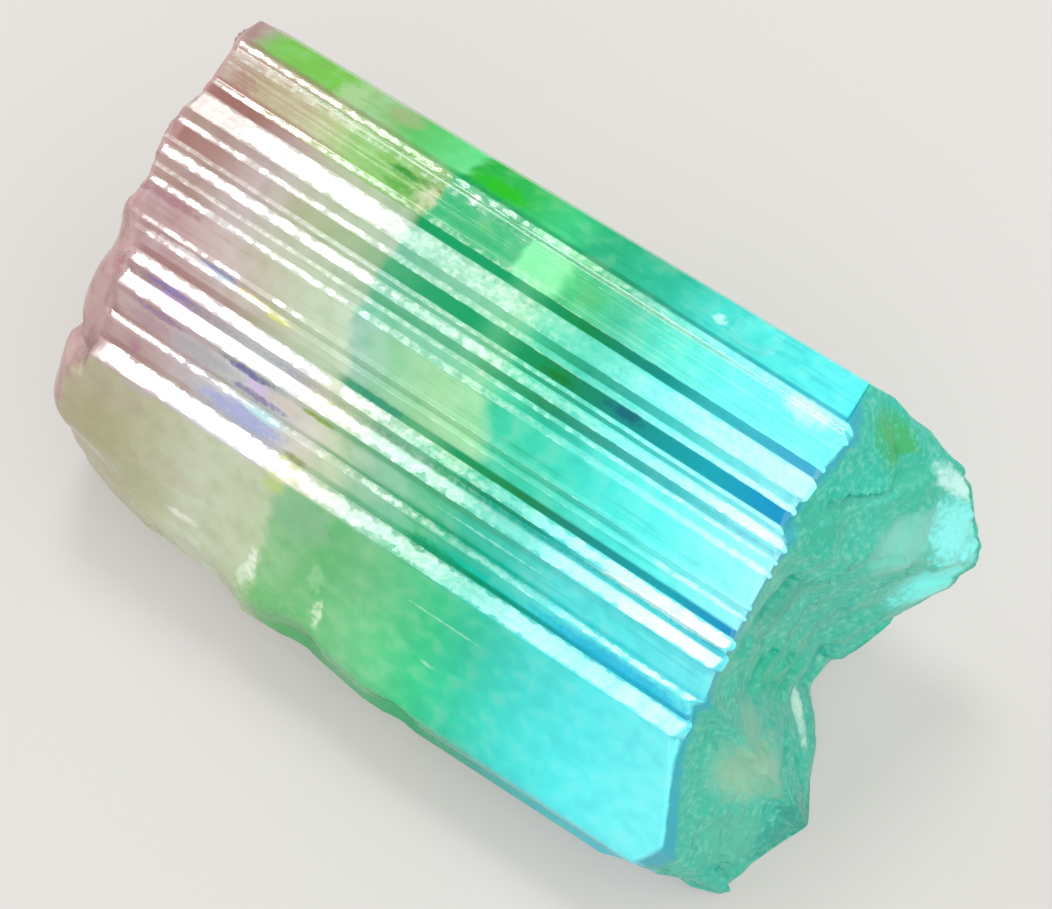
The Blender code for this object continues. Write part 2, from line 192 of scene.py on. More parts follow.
@dataclass
class PrismSection:
    """The prism's cross-section, with the same main sizes as the part's solid."""

    side: SideFrame = field(default_factory=SideFrame)
    length: float = 20.95
    back_strip_foot: float = 0.79
    back_strip_drop: float = 2.0
    back_edge: tuple[float, float] = (0.0, -0.48)
    front_edge: tuple[float, float] = (14.95, 14.6)
    front_tilt: float = math.radians(42.0)
    front_across: float = 3.75
    front_parts: int = 5
    round_radius: float = 1.93
    round_end: float = math.radians(80.0)
    round_steps: int = 8
    crest_tilts: tuple[float, float] = (math.radians(24.5), math.radians(22.6))
    edge_out: float = -1.92
    striae: tuple[Stria, ...] = (
        Stria(
            0.2, 0.165,
            shine=(
                (5.5, 1), (6.5, 0.9), (10.6, 0.85), (11, 0.6), (13, 0.65), (14, 0.45), (16, 0.4),
                (20, 0.65),
            ),
            shade=(
                (0, 0.8), (1, 0.7), (3, 0.6), (7, 0.6), (7.7, 0.9), (10.5, 0.9), (11, 0.5), (12, 0.8),
                (16, 0.4),
            ),
        ),
        Stria(
            0.155, 0.8,
            shine=((0, 0.45), (7, 0.35), (11, 0.15)),
            shade=((0, 0.8), (4, 0.5), (5, 0.0)),
            dark=((0.86, 1.1),),
        ),
        Stria(
            0.175, 0.295,
            shine=(
                (3.5, 1), (4.5, 0.8), (6, 0.65), (7, 0.55), (8, 0.35), (10.5, 0.25), (11.3, 0.35),
                (12, 0.15),
            ),
            shade=(
                (0, 0.8), (1.7, 0.9), (3, 0.55), (4.5, 0.3), (7.2, 0.3), (7.5, 1), (10.6, 1),
                (11.2, 0.7), (12.2, 1), (16, 1), (17.5, 0.8), (20, 0.85),
            ),
        ),
        Stria(
            0.655, 0.27,
            shine=(
                (0, 0.72), (6, 0.72), (7, 0.62), (8, 0.5), (9.2, 0.4), (11, 0.45), (12.4, 0.25),
                (14, 0.2), (16, 0.4), (18, 0.6), (20, 0.55),
            ),
            shade=(
                (0, 0.2), (2, 0.15), (4, 0.05), (12, 0.1), (13, 0.4), (14, 0.6), (16, 0.6), (18, 0.4),
                (20, 0.2),
            ),
        ),
        Stria(
            0.2, 0.45,
            shine=(
                (0, 0.85), (2.2, 0.9), (2.4, 0.3), (2.7, 0.3), (3, 1), (5, 1), (6, 0.85), (7.2, 0.6),
                (8, 0.42), (10.3, 0.35), (11.3, 0.42), (12.5, 0.15), (14.5, 0.15), (16, 0.3),
                (20, 0.65),
            ),
            shade=(
                (0, 0.8), (1, 0.65), (2, 0.4), (3, 0.2), (4, 0.3), (4.6, 0.5), (7, 0.6), (7.6, 0.75),
                (8.8, 0.95), (10.6, 1), (11.3, 0.7), (12.2, 1),
            ),
        ),
        Stria(
            0.115, 0.13,
            shine=((0, 0.3), (12, 0.3), (13, 0.4), (20, 0.5)),
            shade=((0, 0.3), (4, 0.2), (7, 0.2), (12, 0.3), (12.6, 0.6), (18, 0.5), (19, 0.3)),
        ),
        Stria(
            0.31, 0.27,
            shine=(
                (0, 1), (6, 0.95), (7.2, 0.75), (8, 0.55), (9.2, 0.5), (11.3, 0.55), (12.5, 0.45),
                (16, 0.4), (18, 0.55), (20, 0.75),
            ),
            shade=(
                (0, 0), (5, 0.05), (7, 0.2), (7.7, 0.55), (11, 0.5), (12, 0.75), (14, 0.85), (18, 0.7),
                (20, 0.2),
            ),
        ),
        Stria(
            0.13, 0.23,
            shine=((0, 0.35), (5.5, 0.5), (12, 0.4), (13, 0.5), (20, 0.6)),
            shade=((0, 0.3), (1.6, 0.35), (2.2, 0), (12.4, 0), (13.2, 0.25), (14.8, 0.25), (15.6, 0)),
        ),
        Stria(
            0.2, 0.87,
            shine=(
                (0, 1), (2.1, 1), (2.25, 0.3), (2.9, 0.3), (3.05, 1), (7.2, 0.95), (8, 0.55),
                (11.3, 0.5), (12.5, 0.35), (16, 0.25), (18, 0.4), (20, 0.6),
            ),
            shade=((0, 0.35), (2, 0.25), (2.6, 0.0)),
            dark=((-0.1, 0.1),),
        ),
        Stria(
            0.155, 0.17,
            shine=((0, 0.7), (1, 0.7), (2, 0.85), (6, 0.85), (6.4, 0.0)),
            shade=(
                (0, 0.3), (3, 0.3), (7, 0.1), (8, 0.25), (14, 0.15), (14.5, 0.3), (17.4, 0.3),
                (18, 0.1),
            ),
        ),
        Stria(
            0.16, 0.48,
            shine=(
                (0, 0.85), (2.1, 0.85), (2.3, 0.2), (2.6, 0.9), (4.2, 0.9), (5.6, 0.6), (5.9, 0.1),
                (18.3, 0.1), (18.6, 0.6), (20.5, 0.6),
            ),
            shade=(
                (0, 0.6), (3.6, 0.6), (5.4, 0.3), (6, 0.1), (7.6, 0.1), (8.2, 0.8), (11, 0.7), (12, 1),
            ),
            dark=((0.55, 1.1),),
        ),
        Stria(
            0.36, 0.18,
            shine=(
                (0, 1), (6.5, 1), (7.2, 0.9), (8, 0.75), (9.2, 0.6), (10.3, 0.5), (12, 0.5), (13, 0.4),
                (14.5, 0.45), (16, 0.6), (18, 0.75), (20, 0.95),
            ),
            shade=((0, 0.1), (8, 0.15), (12.3, 0.2), (12.8, 0.8), (15.2, 0.7), (15.8, 0.2), (20, 0)),
            drift=0.08,
        ),
        Stria(
            0.56, 0.755,
            shine=(
                (0, 1), (8, 1), (8.6, 0.7), (9.5, 0.6), (12.6, 0.6), (13.5, 0.4), (15, 0.4), (16, 0.6),
                (18, 0.7), (19.5, 0.95),
            ),
            shade=(
                (0, 0.4), (3, 0.2), (5, 0.5), (6.5, 0.4), (7, 0.3), (8.5, 0.6), (12, 0.7), (15.5, 0.3),
                (20, 0.2),
            ),
            dark=((-0.1, 0.2), (0.86, 1.1)),
        ),
        Stria(
            0.22, 0.645,
            shine=(
                (0, 1), (3.5, 1), (4.5, 0.9), (5.5, 0.65), (8, 0.6), (9, 0.5), (10.6, 0.75),
                (11.4, 0.75), (12, 0.5), (15, 0.55), (16, 0.4), (17, 0.7), (20, 0.85),
            ),
            shade=((0, 0.5), (3, 0.3), (7, 0.2), (8, 0.4), (11.5, 0.4), (12, 0.8), (16, 0.8)),
            dark=((0.7, 1.1),),
            drift=0.16,
        ),
        Stria(
            0.585, 0.0,
            shine=(
                (0.85, 0.1), (1.15, 1), (6, 1), (7.4, 0.85), (8.2, 0.7), (9.2, 0.6), (12.8, 0.6),
                (14, 0.5), (15.5, 0.65), (18, 0.6), (20, 0.7),
            ),
        ),
    )
    base_front: float = -9.0
    base_back: float = -2.6
    base_points: int = 7
    lower_bulge: float = 0.45
    lower_striae: int = 3
    back_bulge: float = 2.7
    back_striae: int = 12
    hidden_crest: float = 0.45
    hidden_relief: float = 0.13
    hidden_widths: tuple[float, float] = (0.5, 1.5)
    seed: int = 11

    def upper_side(self, far: float) -> tuple[list, list[Surface], list[int], float]:
        """Walk the upper striated side from its back edge.

        Args:
            far: 0 at the worn end, 1 at the broken end.

        Returns:
            Pairs of (striated, plain) points, the kind and the stria of the stretch after each
            point, and where the walk ends across.
        """
        across = self.back_strip_foot
        pairs: list[tuple] = []
        kinds: list[Surface] = []
        owners: list[int] = []
        width = sum(stria.crest + stria.fall for stria in self.striae)
        first, last = self.crest_tilts
        for index, stria in enumerate(self.striae):
            share = (across - self.back_strip_foot) / width
            tilt = first + (last - first) * share
            foot = across + stria.drift * far
            foot_out = float(self.side.arch(foot))
            point = np.array(self.side.section(foot, foot_out))
            if index:
                kinds.append(Surface.FALL)
                owners.append(index - 1)
            top = foot + stria.crest
            plain = np.array(self.side.section(top, float(self.side.arch(top))))
            rough = np.array(self.side.section(top, foot_out + stria.crest * math.tan(tilt)))
            pairs += [(point, point), (rough, plain)]
            kinds.append(Surface.CREST)
            owners.append(index)
            across += stria.crest + stria.fall
        return pairs, kinds, owners, across

    def front(self, across: float, out: float, edge: float) -> list:
        """Points of the broad front face and of the rounded edge below it.

        Args:
            across: where the face starts, across.
            out: where the face starts, out.
            edge: how far across the rounded edge reaches.

        Returns:
            Pairs of (striated, plain) points, which are equal here.
        """
        foot_across = across + self.front_across
        foot_out = out - self.front_across * math.tan(self.front_tilt)
        points = []
        for part in range(1, self.front_parts + 1):
            share = part / self.front_parts
            at_across = across + (foot_across - across) * share
            points.append(self.side.section(at_across, out + (foot_out - out) * share))
        sin, cos = math.sin(self.front_tilt), math.cos(self.front_tilt)
        for step in range(1, self.round_steps + 1):
            turn = self.front_tilt + (self.round_end - self.front_tilt) * step / self.round_steps
            reached = (math.sin(turn) - sin) / (math.sin(self.round_end) - sin)
            at_out = foot_out - self.round_radius * (cos - math.cos(turn))
            points.append(self.side.section(foot_across + (edge - foot_across) * reached, at_out))
        return [(np.array(point), np.array(point)) for point in points]

    def bulged(self, start: Array, end: Array, bulge: float, count: int, draws: random.Random) -> list:
        """A hidden striated side along an arc.

        Args:
            start: where the side starts.
            end: where the side ends.
            bulge: how far its middle stands out.
            count: how many striae it has.
            draws: the seeded draws for their widths.

        Returns:
            Pairs of (striated, plain) points between start and end.
        """
        chord = end - start
        outward = np.array((chord[1], -chord[0])) / float(np.hypot(*chord))
        widths = [draws.uniform(*self.hidden_widths) for _ in range(count)]
        pairs = []
        reached = 0.0
        for width in widths:
            share = width / sum(widths)
            for step, lift in ((self.hidden_crest, self.hidden_relief * width), (1.0, 0.0)):
                at = reached + share * step
                arc = start + chord * at + outward * bulge * 4.0 * at * (1.0 - at)
                pairs.append((arc + outward * lift, arc))
            reached += share
        return pairs[:-1]

    def outline(self, share: float) -> Outline:
        """The closed outline at a share of the way to the broken end.

        Args:
            share: 0 at the worn end, 1 at the broken end.

        Returns:
            The outline's points and the kinds of its stretches.
        """
        draws = random.Random(self.seed)
        upper, kinds, owners, across = self.upper_side(share)
        back_across = self.back_edge[0] + (self.back_edge[1] - self.back_edge[0]) * share
        front_across = self.front_edge[0] + (self.front_edge[1] - self.front_edge[0]) * share
        back_edge = np.array(self.side.section(back_across, -self.back_strip_drop))
        front = self.front(across, self.edge_out, front_across)
        base_front = np.array((self.base_front, -self.side.base_height))
        base_back = np.array((self.base_back, -self.side.base_height))
        lower = self.bulged(front[-1][0], base_front, self.lower_bulge, self.lower_striae, draws)
        spots = np.linspace(0.0, 1.0, self.base_points)
        base = [base_front + (base_back - base_front) * spot for spot in spots]
        back = self.bulged(base_back, back_edge, self.back_bulge, self.back_striae, draws)
        pairs = upper + front + lower + [(point, point) for point in base] + back
        pairs.append((back_edge, back_edge))
        kinds += [Surface.FRONT] * self.front_parts + [Surface.ROUND] * self.round_steps
        kinds += [Surface.HIDDEN] * (len(lower) + 1) + [Surface.BASE] * (self.base_points - 1)
        kinds += [Surface.HIDDEN] * (len(back) + 1) + [Surface.STRIP]
        owners += [-1] * (len(kinds) - len(owners))
        rough, plain = (np.array(points) for points in zip(*pairs))
        return Outline(rough, plain, kinds, owners)


@dataclass
class WornEnd:
    """The worn, pinkish end: growth steps on a blunt end, rounded in front and sharp behind."""

    edge_radii: tuple[float, float] = (0.2, 1.3)
    edge_squash: float = 0.8
    edge_from: float = 5.8
    edge_to: float = 7.6
    steps: tuple = ((6.0, 0.32), (11.1, 0.24))
    step_ramp: float = 0.3
    mounds: tuple = (
        (0.3, -1.5, 1.5, 0.5), (3.9, -0.6, 1.7, 0.35), (9.0, -1.3, 1.4, 0.3), (9.9, -1.95, 1.1, 0.3),
    )
    hillock: float = 0.2
    hillocks_per_mm: float = 0.45
    hillock_seed: float = 3.1
    grain: float = 0.05
    grains_per_mm: float = 2.2
    terrace: float = 0.035
    terrace_levels: float = 4.0
    terraces_per_mm: float = 1.5
    edge_turn: float = 80.0
    edge_rings: int = 12

    def radius(self, across: Array) -> Array:
        """Radius of the end's edge at distances across."""
        near, far = self.edge_radii
        return near + (far - near) * ramp(across, self.edge_from, self.edge_to)

    def out(self, across: Array, out: Array) -> Array:
        """How far the end stands out from its base plane.

        Args:
            across: distances across, in the turned frame.
            out: distances out, in the turned frame.

        Returns:
            The depths in millimetres.
        """
        across, out = np.atleast_1d(across), np.atleast_1d(out)
        height = sum(rise * ramp(across, at, at + self.step_ramp) for at, rise in self.steps)
        for at_across, at_out, radius, rise in self.mounds:
            away = np.minimum(np.hypot(across - at_across, out - at_out) / radius, 1.0)
            height = height + rise * (0.5 + 0.5 * np.cos(math.pi * away))
        relief = np.empty(len(across))
        for index, (a, o) in enumerate(zip(across, out)):
            spot = Vector((a, o, 0.0))
            hillock_at = spot * self.hillocks_per_mm + Vector((0.0, 0.0, self.hillock_seed))
            rise = self.hillock * noise.noise(hillock_at)
            level = noise.noise(spot * self.terraces_per_mm)
            rise += self.terrace * (math.floor(level * self.terrace_levels) / self.terrace_levels)
            rise += self.grain * noise.noise(spot * self.grains_per_mm)
            relief[index] = rise
        return height + relief


@dataclass
class BrokenEnd:
    """The broken, blue end: two lumps of flat facets with a floor between, ledges, ribs and splinters."""

    side: SideFrame = field(default_factory=SideFrame)
    lumps: tuple = (
        ((0.0, 0.0, 0.36), (3.12, -0.633, 0.15), (-1.03, 0.81, 0.557)),
        ((-6.98, 0.755, 0.15), (-0.3, 0.0, 0.318), (14.28, -1.1, 0.4)),
        ((0.1, 0.0, 0.04), (-1.03, 0.81, 0.557)),
    )
    ledges: tuple = ((4.26, 0.84, 0.35), (8.9, -0.22, -0.35))
    ledge_ramp: float = 0.34
    rib_focus: tuple[float, float] = (4.5, 0.5)
    rib_spacing: float = 1.9
    rib_height: float = 0.05
    splinter_sizes: tuple = ((1.7, 0.16, 7.3), (0.7, 0.07, 3.9))
    grain: float = 0.12
    grains_per_mm: float = 0.9
    grain_seed: float = 7.7
    rough_from: float = 0.2
    rough_to: float = 2.5

    def splinter(self, spot: Vector, size: float, tilt: float, seed: float) -> float:
        """Height of the small flat facets of one size.

        Args:
            spot: the place on the break, across and out.
            size: the facets' size.
            tilt: the most they tilt.
            seed: picks their tilts.

        Returns:
            The height in millimetres.
        """
        place = spot / size
        _, centres = noise.voronoi(place)
        lean = noise.cell_vector(centres[0] * seed) * 2.0 - Vector((1.0, 1.0, 1.0))
        offset = (place - centres[0]) * size
        return tilt * (lean.x * offset.x + lean.y * offset.y)

    def out(self, across: Array, out: Array) -> Array:
        """How far the break stands out from the rim plane.

        Args:
            across: distances across, in the turned frame.
            out: distances out, in the turned frame.

        Returns:
            The heights in millimetres.
        """
        across, out = np.atleast_1d(across), np.atleast_1d(out)
        lumps = [
            np.min([start + side * across - deep * out for start, side, deep in facets], axis=0)
            for facets in self.lumps
        ]
        height = np.max(lumps, axis=0)
        for at, lean, rise in self.ledges:
            height = height + rise * ramp(across - lean * out, at, at + self.ledge_ramp)
        from_focus = np.hypot(across - self.rib_focus[0], out - self.rib_focus[1])
        relief = self.rib_height * np.sin(math.tau * from_focus / self.rib_spacing)
        rough = np.empty(len(across))
        for index, (a, o) in enumerate(zip(across, out)):
            spot = Vector((a, o, 0.0))
            rise = sum(self.splinter(spot, *facet) for facet in self.splinter_sizes)
            grain_at = spot * self.grains_per_mm + Vector((0.0, 0.0, self.grain_seed))
            rough[index] = rise + self.grain * noise.noise(grain_at)
        below = self.side.arch(across) - out
        return height + (relief + rough) * ramp(below, self.rough_from, self.rough_to)


@dataclass(frozen=True)
class StainAndGlint:
    """A veil, blob, chip or tint of the crystal's own colour, a painted highlight, or a painted iridescent
    sheen, placed along and across, or across and out on the broken end.
    """

    first: float
    second: float
    length: float
    width: float
    colour: Rgb
    strength: float


@dataclass(frozen=True)
class StainAndGlintMap:
    """All marks of the sides and of the broken end (own tints, painted highlights and painted iridescent
    sheen), read at the mesh's vertices.
    """

    stains_and_glints: tuple[StainAndGlint, ...] = (
        StainAndGlint(6.35, 1.5, 0.5, 0.1, (26, 140, 0), 1.0),
        StainAndGlint(7.2, 1.42, 0.35, 0.07, (84, 132, 20), 0.9),
        StainAndGlint(6.5, 1.9, 0.45, 0.12, (60, 160, 16), 0.8),
        StainAndGlint(7.35, 1.75, 0.25, 0.35, (196, 204, 166), 0.8),
        StainAndGlint(8.5, 1.08, 0.16, 0.14, (240, 255, 250), 1.0),
        StainAndGlint(9.2, 1.6, 0.25, 0.12, (96, 186, 110), 0.6),
        # Painted shade: the next two thin dark lines darken the fall just past the first crest.
        StainAndGlint(5.4, 1.06, 3.4, 0.045, (66, 150, 36), 0.8),
        StainAndGlint(13.4, 1.06, 4.0, 0.045, (0, 172, 108), 0.7),
        StainAndGlint(8.8, 0.4, 0.75, 0.2, (26, 196, 0), 0.9),
        StainAndGlint(3.6, 0.4, 0.45, 0.25, (176, 216, 156), 0.7),
        StainAndGlint(5.2, 0.15, 0.5, 0.2, (168, 186, 132), 0.7),
        StainAndGlint(16.1, 0.22, 0.2, 0.12, (190, 255, 250), 1.0),
        StainAndGlint(12.9, 1.65, 0.4, 0.3, (40, 176, 90), 0.6),
        StainAndGlint(19.8, 1.15, 0.6, 0.25, (190, 255, 250), 0.8),
        StainAndGlint(0.9, 1.8, 0.35, 0.3, (160, 116, 104), 0.7),
        StainAndGlint(0.6, 1.05, 0.4, 0.3, (158, 138, 116), 0.5),
        StainAndGlint(1.0, 4.7, 0.7, 0.25, (176, 140, 140), 0.5),
        StainAndGlint(1.0, 5.7, 0.9, 0.1, (156, 100, 112), 0.6),
        StainAndGlint(0.45, 8.05, 0.16, 0.3, (160, 84, 104), 0.7),
        # Painted iridescent sheen: among the next twenty-five, the violet, lilac, pale blue and pale yellow
        # ones stand in for coloured glints in the highlights; the others are the crystal's own colour.
        StainAndGlint(2.3, 7.84, 0.8, 0.06, (140, 124, 200), 0.8),
        StainAndGlint(2.5, 8.08, 0.8, 0.1, (196, 176, 240), 0.9),
        StainAndGlint(2.4, 8.62, 0.7, 0.08, (146, 110, 156), 0.8),
        StainAndGlint(2.3, 8.95, 0.8, 0.15, (180, 140, 160), 0.6),
        StainAndGlint(2.4, 2.85, 0.5, 0.12, (214, 234, 255), 0.7),
        StainAndGlint(3.3, 6.64, 0.6, 0.04, (130, 140, 200), 0.9),
        StainAndGlint(3.5, 6.8, 0.8, 0.07, (206, 230, 250), 0.8),
        StainAndGlint(4.7, 6.77, 0.6, 0.06, (250, 236, 176), 0.9),
        StainAndGlint(5.5, 6.87, 0.4, 0.09, (220, 222, 120), 0.8),
        StainAndGlint(5.6, 8.6, 0.75, 0.09, (96, 84, 160), 0.9),
        StainAndGlint(6.15, 8.83, 0.6, 0.1, (222, 190, 240), 0.9),
        StainAndGlint(5.9, 9.07, 0.8, 0.08, (124, 102, 156), 0.8),
        StainAndGlint(5.6, 9.76, 1.2, 0.24, (164, 170, 228), 0.8),
        StainAndGlint(4.0, 8.9, 1.1, 0.2, (164, 166, 178), 0.6),
        StainAndGlint(6.4, 9.45, 0.7, 0.12, (186, 236, 240), 0.8),
        StainAndGlint(6.8, 8.8, 0.5, 0.16, (222, 206, 190), 0.7),
        StainAndGlint(8.0, 8.62, 0.45, 0.06, (130, 160, 0), 0.9),
        StainAndGlint(7.9, 8.2, 0.6, 0.16, (250, 240, 160), 0.6),
        StainAndGlint(7.5, 10.4, 0.5, 0.3, (240, 240, 150), 0.7),
        StainAndGlint(7.7, 10.0, 0.3, 0.1, (120, 140, 60), 0.7),
        StainAndGlint(3.6, 10.35, 0.8, 0.2, (244, 255, 200), 0.7),
        StainAndGlint(1.9, 9.75, 0.2, 0.15, (176, 116, 150), 0.7),
        StainAndGlint(0.5, 10.68, 0.24, 0.4, (140, 104, 94), 0.6),
        StainAndGlint(2.5, 10.8, 0.5, 0.05, (180, 172, 200), 0.6),
        StainAndGlint(7.6, 10.95, 0.4, 0.15, (190, 210, 90), 0.6),
        StainAndGlint(9.2, 7.3, 0.9, 0.1, (0, 134, 120), 0.6),
        StainAndGlint(12.5, 10.0, 0.7, 0.16, (0, 156, 110), 0.8),
        StainAndGlint(18.5, 9.85, 2.0, 0.18, (30, 170, 226), 0.7),
        StainAndGlint(14.1, 8.85, 1.3, 0.03, (160, 240, 226), 0.8),
        StainAndGlint(15.6, 3.85, 0.5, 0.13, (0, 84, 110), 0.8),
        StainAndGlint(13.5, 4.0, 0.4, 0.1, (0, 110, 0), 0.7),
        StainAndGlint(4.9, 13.3, 0.42, 0.09, (238, 242, 224), 0.9),
        StainAndGlint(3.0, 14.35, 1.7, 0.16, (112, 120, 62), 0.6),
        StainAndGlint(8.5, 14.2, 1.1, 0.5, (66, 176, 84), 0.5),
        StainAndGlint(8.6, 11.3, 0.9, 0.5, (134, 188, 150), 0.6),
        StainAndGlint(7.55, 13.35, 0.16, 0.4, (240, 250, 232), 0.9),
        StainAndGlint(7.25, 13.75, 0.14, 0.26, (220, 240, 214), 0.8),
        StainAndGlint(9.6, 12.6, 0.24, 0.3, (150, 212, 156), 0.6),
        StainAndGlint(9.95, 13.5, 0.15, 0.34, (220, 244, 212), 0.9),
        StainAndGlint(13.65, 12.9, 0.2, 0.06, (206, 246, 226), 0.8),
        StainAndGlint(13.7, 11.58, 0.95, 0.018, (180, 246, 220), 0.9),
        StainAndGlint(1.6, 12.6, 1.1, 0.9, (166, 168, 118), 0.45),
        StainAndGlint(3.3, 13.2, 0.9, 0.5, (166, 170, 120), 0.4),
        StainAndGlint(4.3, 12.4, 1.0, 0.25, (186, 180, 156), 0.4),
        StainAndGlint(2.1, 11.3, 0.8, 0.25, (176, 166, 150), 0.4),
        # Painted highlight: the white streak below, where the fall joins the bright bands near the broken
        # end.
        StainAndGlint(19.3, 7.84, 2.0, 0.07, (255, 255, 255), 1.0),
        StainAndGlint(2.1, 6.72, 0.9, 0.08, (240, 232, 232), 0.8),
    )
    patches: tuple[StainAndGlint, ...] = (
        StainAndGlint(2.7, -5.2, 0.9, 1.1, (128, 214, 196), 0.8),
        # Painted highlight: the next three bright cyan-white patches stand in for light that the clear
        # chunk at the break's corner reflects.
        StainAndGlint(1.5, -7.2, 1.0, 1.4, (136, 246, 240), 1.0),
        StainAndGlint(3.2, -8.9, 0.9, 0.9, (126, 244, 236), 0.9),
        StainAndGlint(0.5, -5.7, 0.3, 0.9, (214, 255, 250), 0.8),
        StainAndGlint(8.3, -9.95, 0.8, 0.22, (210, 240, 226), 0.9),
        StainAndGlint(10.4, -6.2, 0.9, 1.5, (154, 196, 162), 0.8),
        StainAndGlint(9.4, -5.2, 0.5, 0.8, (140, 190, 160), 0.5),
        StainAndGlint(12.4, -7.6, 0.8, 1.2, (84, 178, 146), 0.6),
        StainAndGlint(0.5, -3.0, 0.6, 0.9, (36, 170, 84), 0.9),
        StainAndGlint(7.6, -6.6, 0.8, 2.4, (20, 182, 144), 0.8),
        StainAndGlint(6.0, -3.0, 0.8, 1.0, (0, 160, 134), 0.8),
        StainAndGlint(3.5, -1.4, 0.8, 0.7, (0, 176, 146), 0.7),
        StainAndGlint(1.2, -3.9, 0.7, 0.8, (20, 184, 148), 0.7),
        StainAndGlint(11.6, -9.7, 1.0, 1.0, (0, 146, 130), 0.7),
    )
    reach: float = 3.5
    core: float = 1.2

    def read(
        self, first: Array, second: Array, stains_and_glints: tuple[StainAndGlint, ...]
    ) -> tuple[Array, Array, Array]:
        """Which mark each place belongs to.

        Args:
            first: first coordinates.
            second: second coordinates.
            stains_and_glints: the marks, later ones over earlier ones.

        Returns:
            The mark's colour, its strength, and the squared distance from its centre, 1 at its edge.
        """
        colour = np.zeros((len(first), 3))
        strength = np.zeros(len(first))
        away = np.full(len(first), self.reach)
        for stain_glint in stains_and_glints:
            here = ((first - stain_glint.first) / stain_glint.length) ** 2
            here = here + ((second - stain_glint.second) / stain_glint.width) ** 2
            over = (here < self.reach) & ((here < self.core) | (here < away))
            colour[over] = linear(stain_glint.colour)
            strength[over] = stain_glint.strength
            away[over] = here[over]
        return colour, strength, away


@dataclass
class FineOutline:
    """The main outline cut into fine stretches, with the small relief of each."""

    first: Array
    second: Array
    share: Array
    kinds: Array
    owners: Array
    edge: Array
    tip: Array
    dark: Array
    relief: Array
    phase: Array


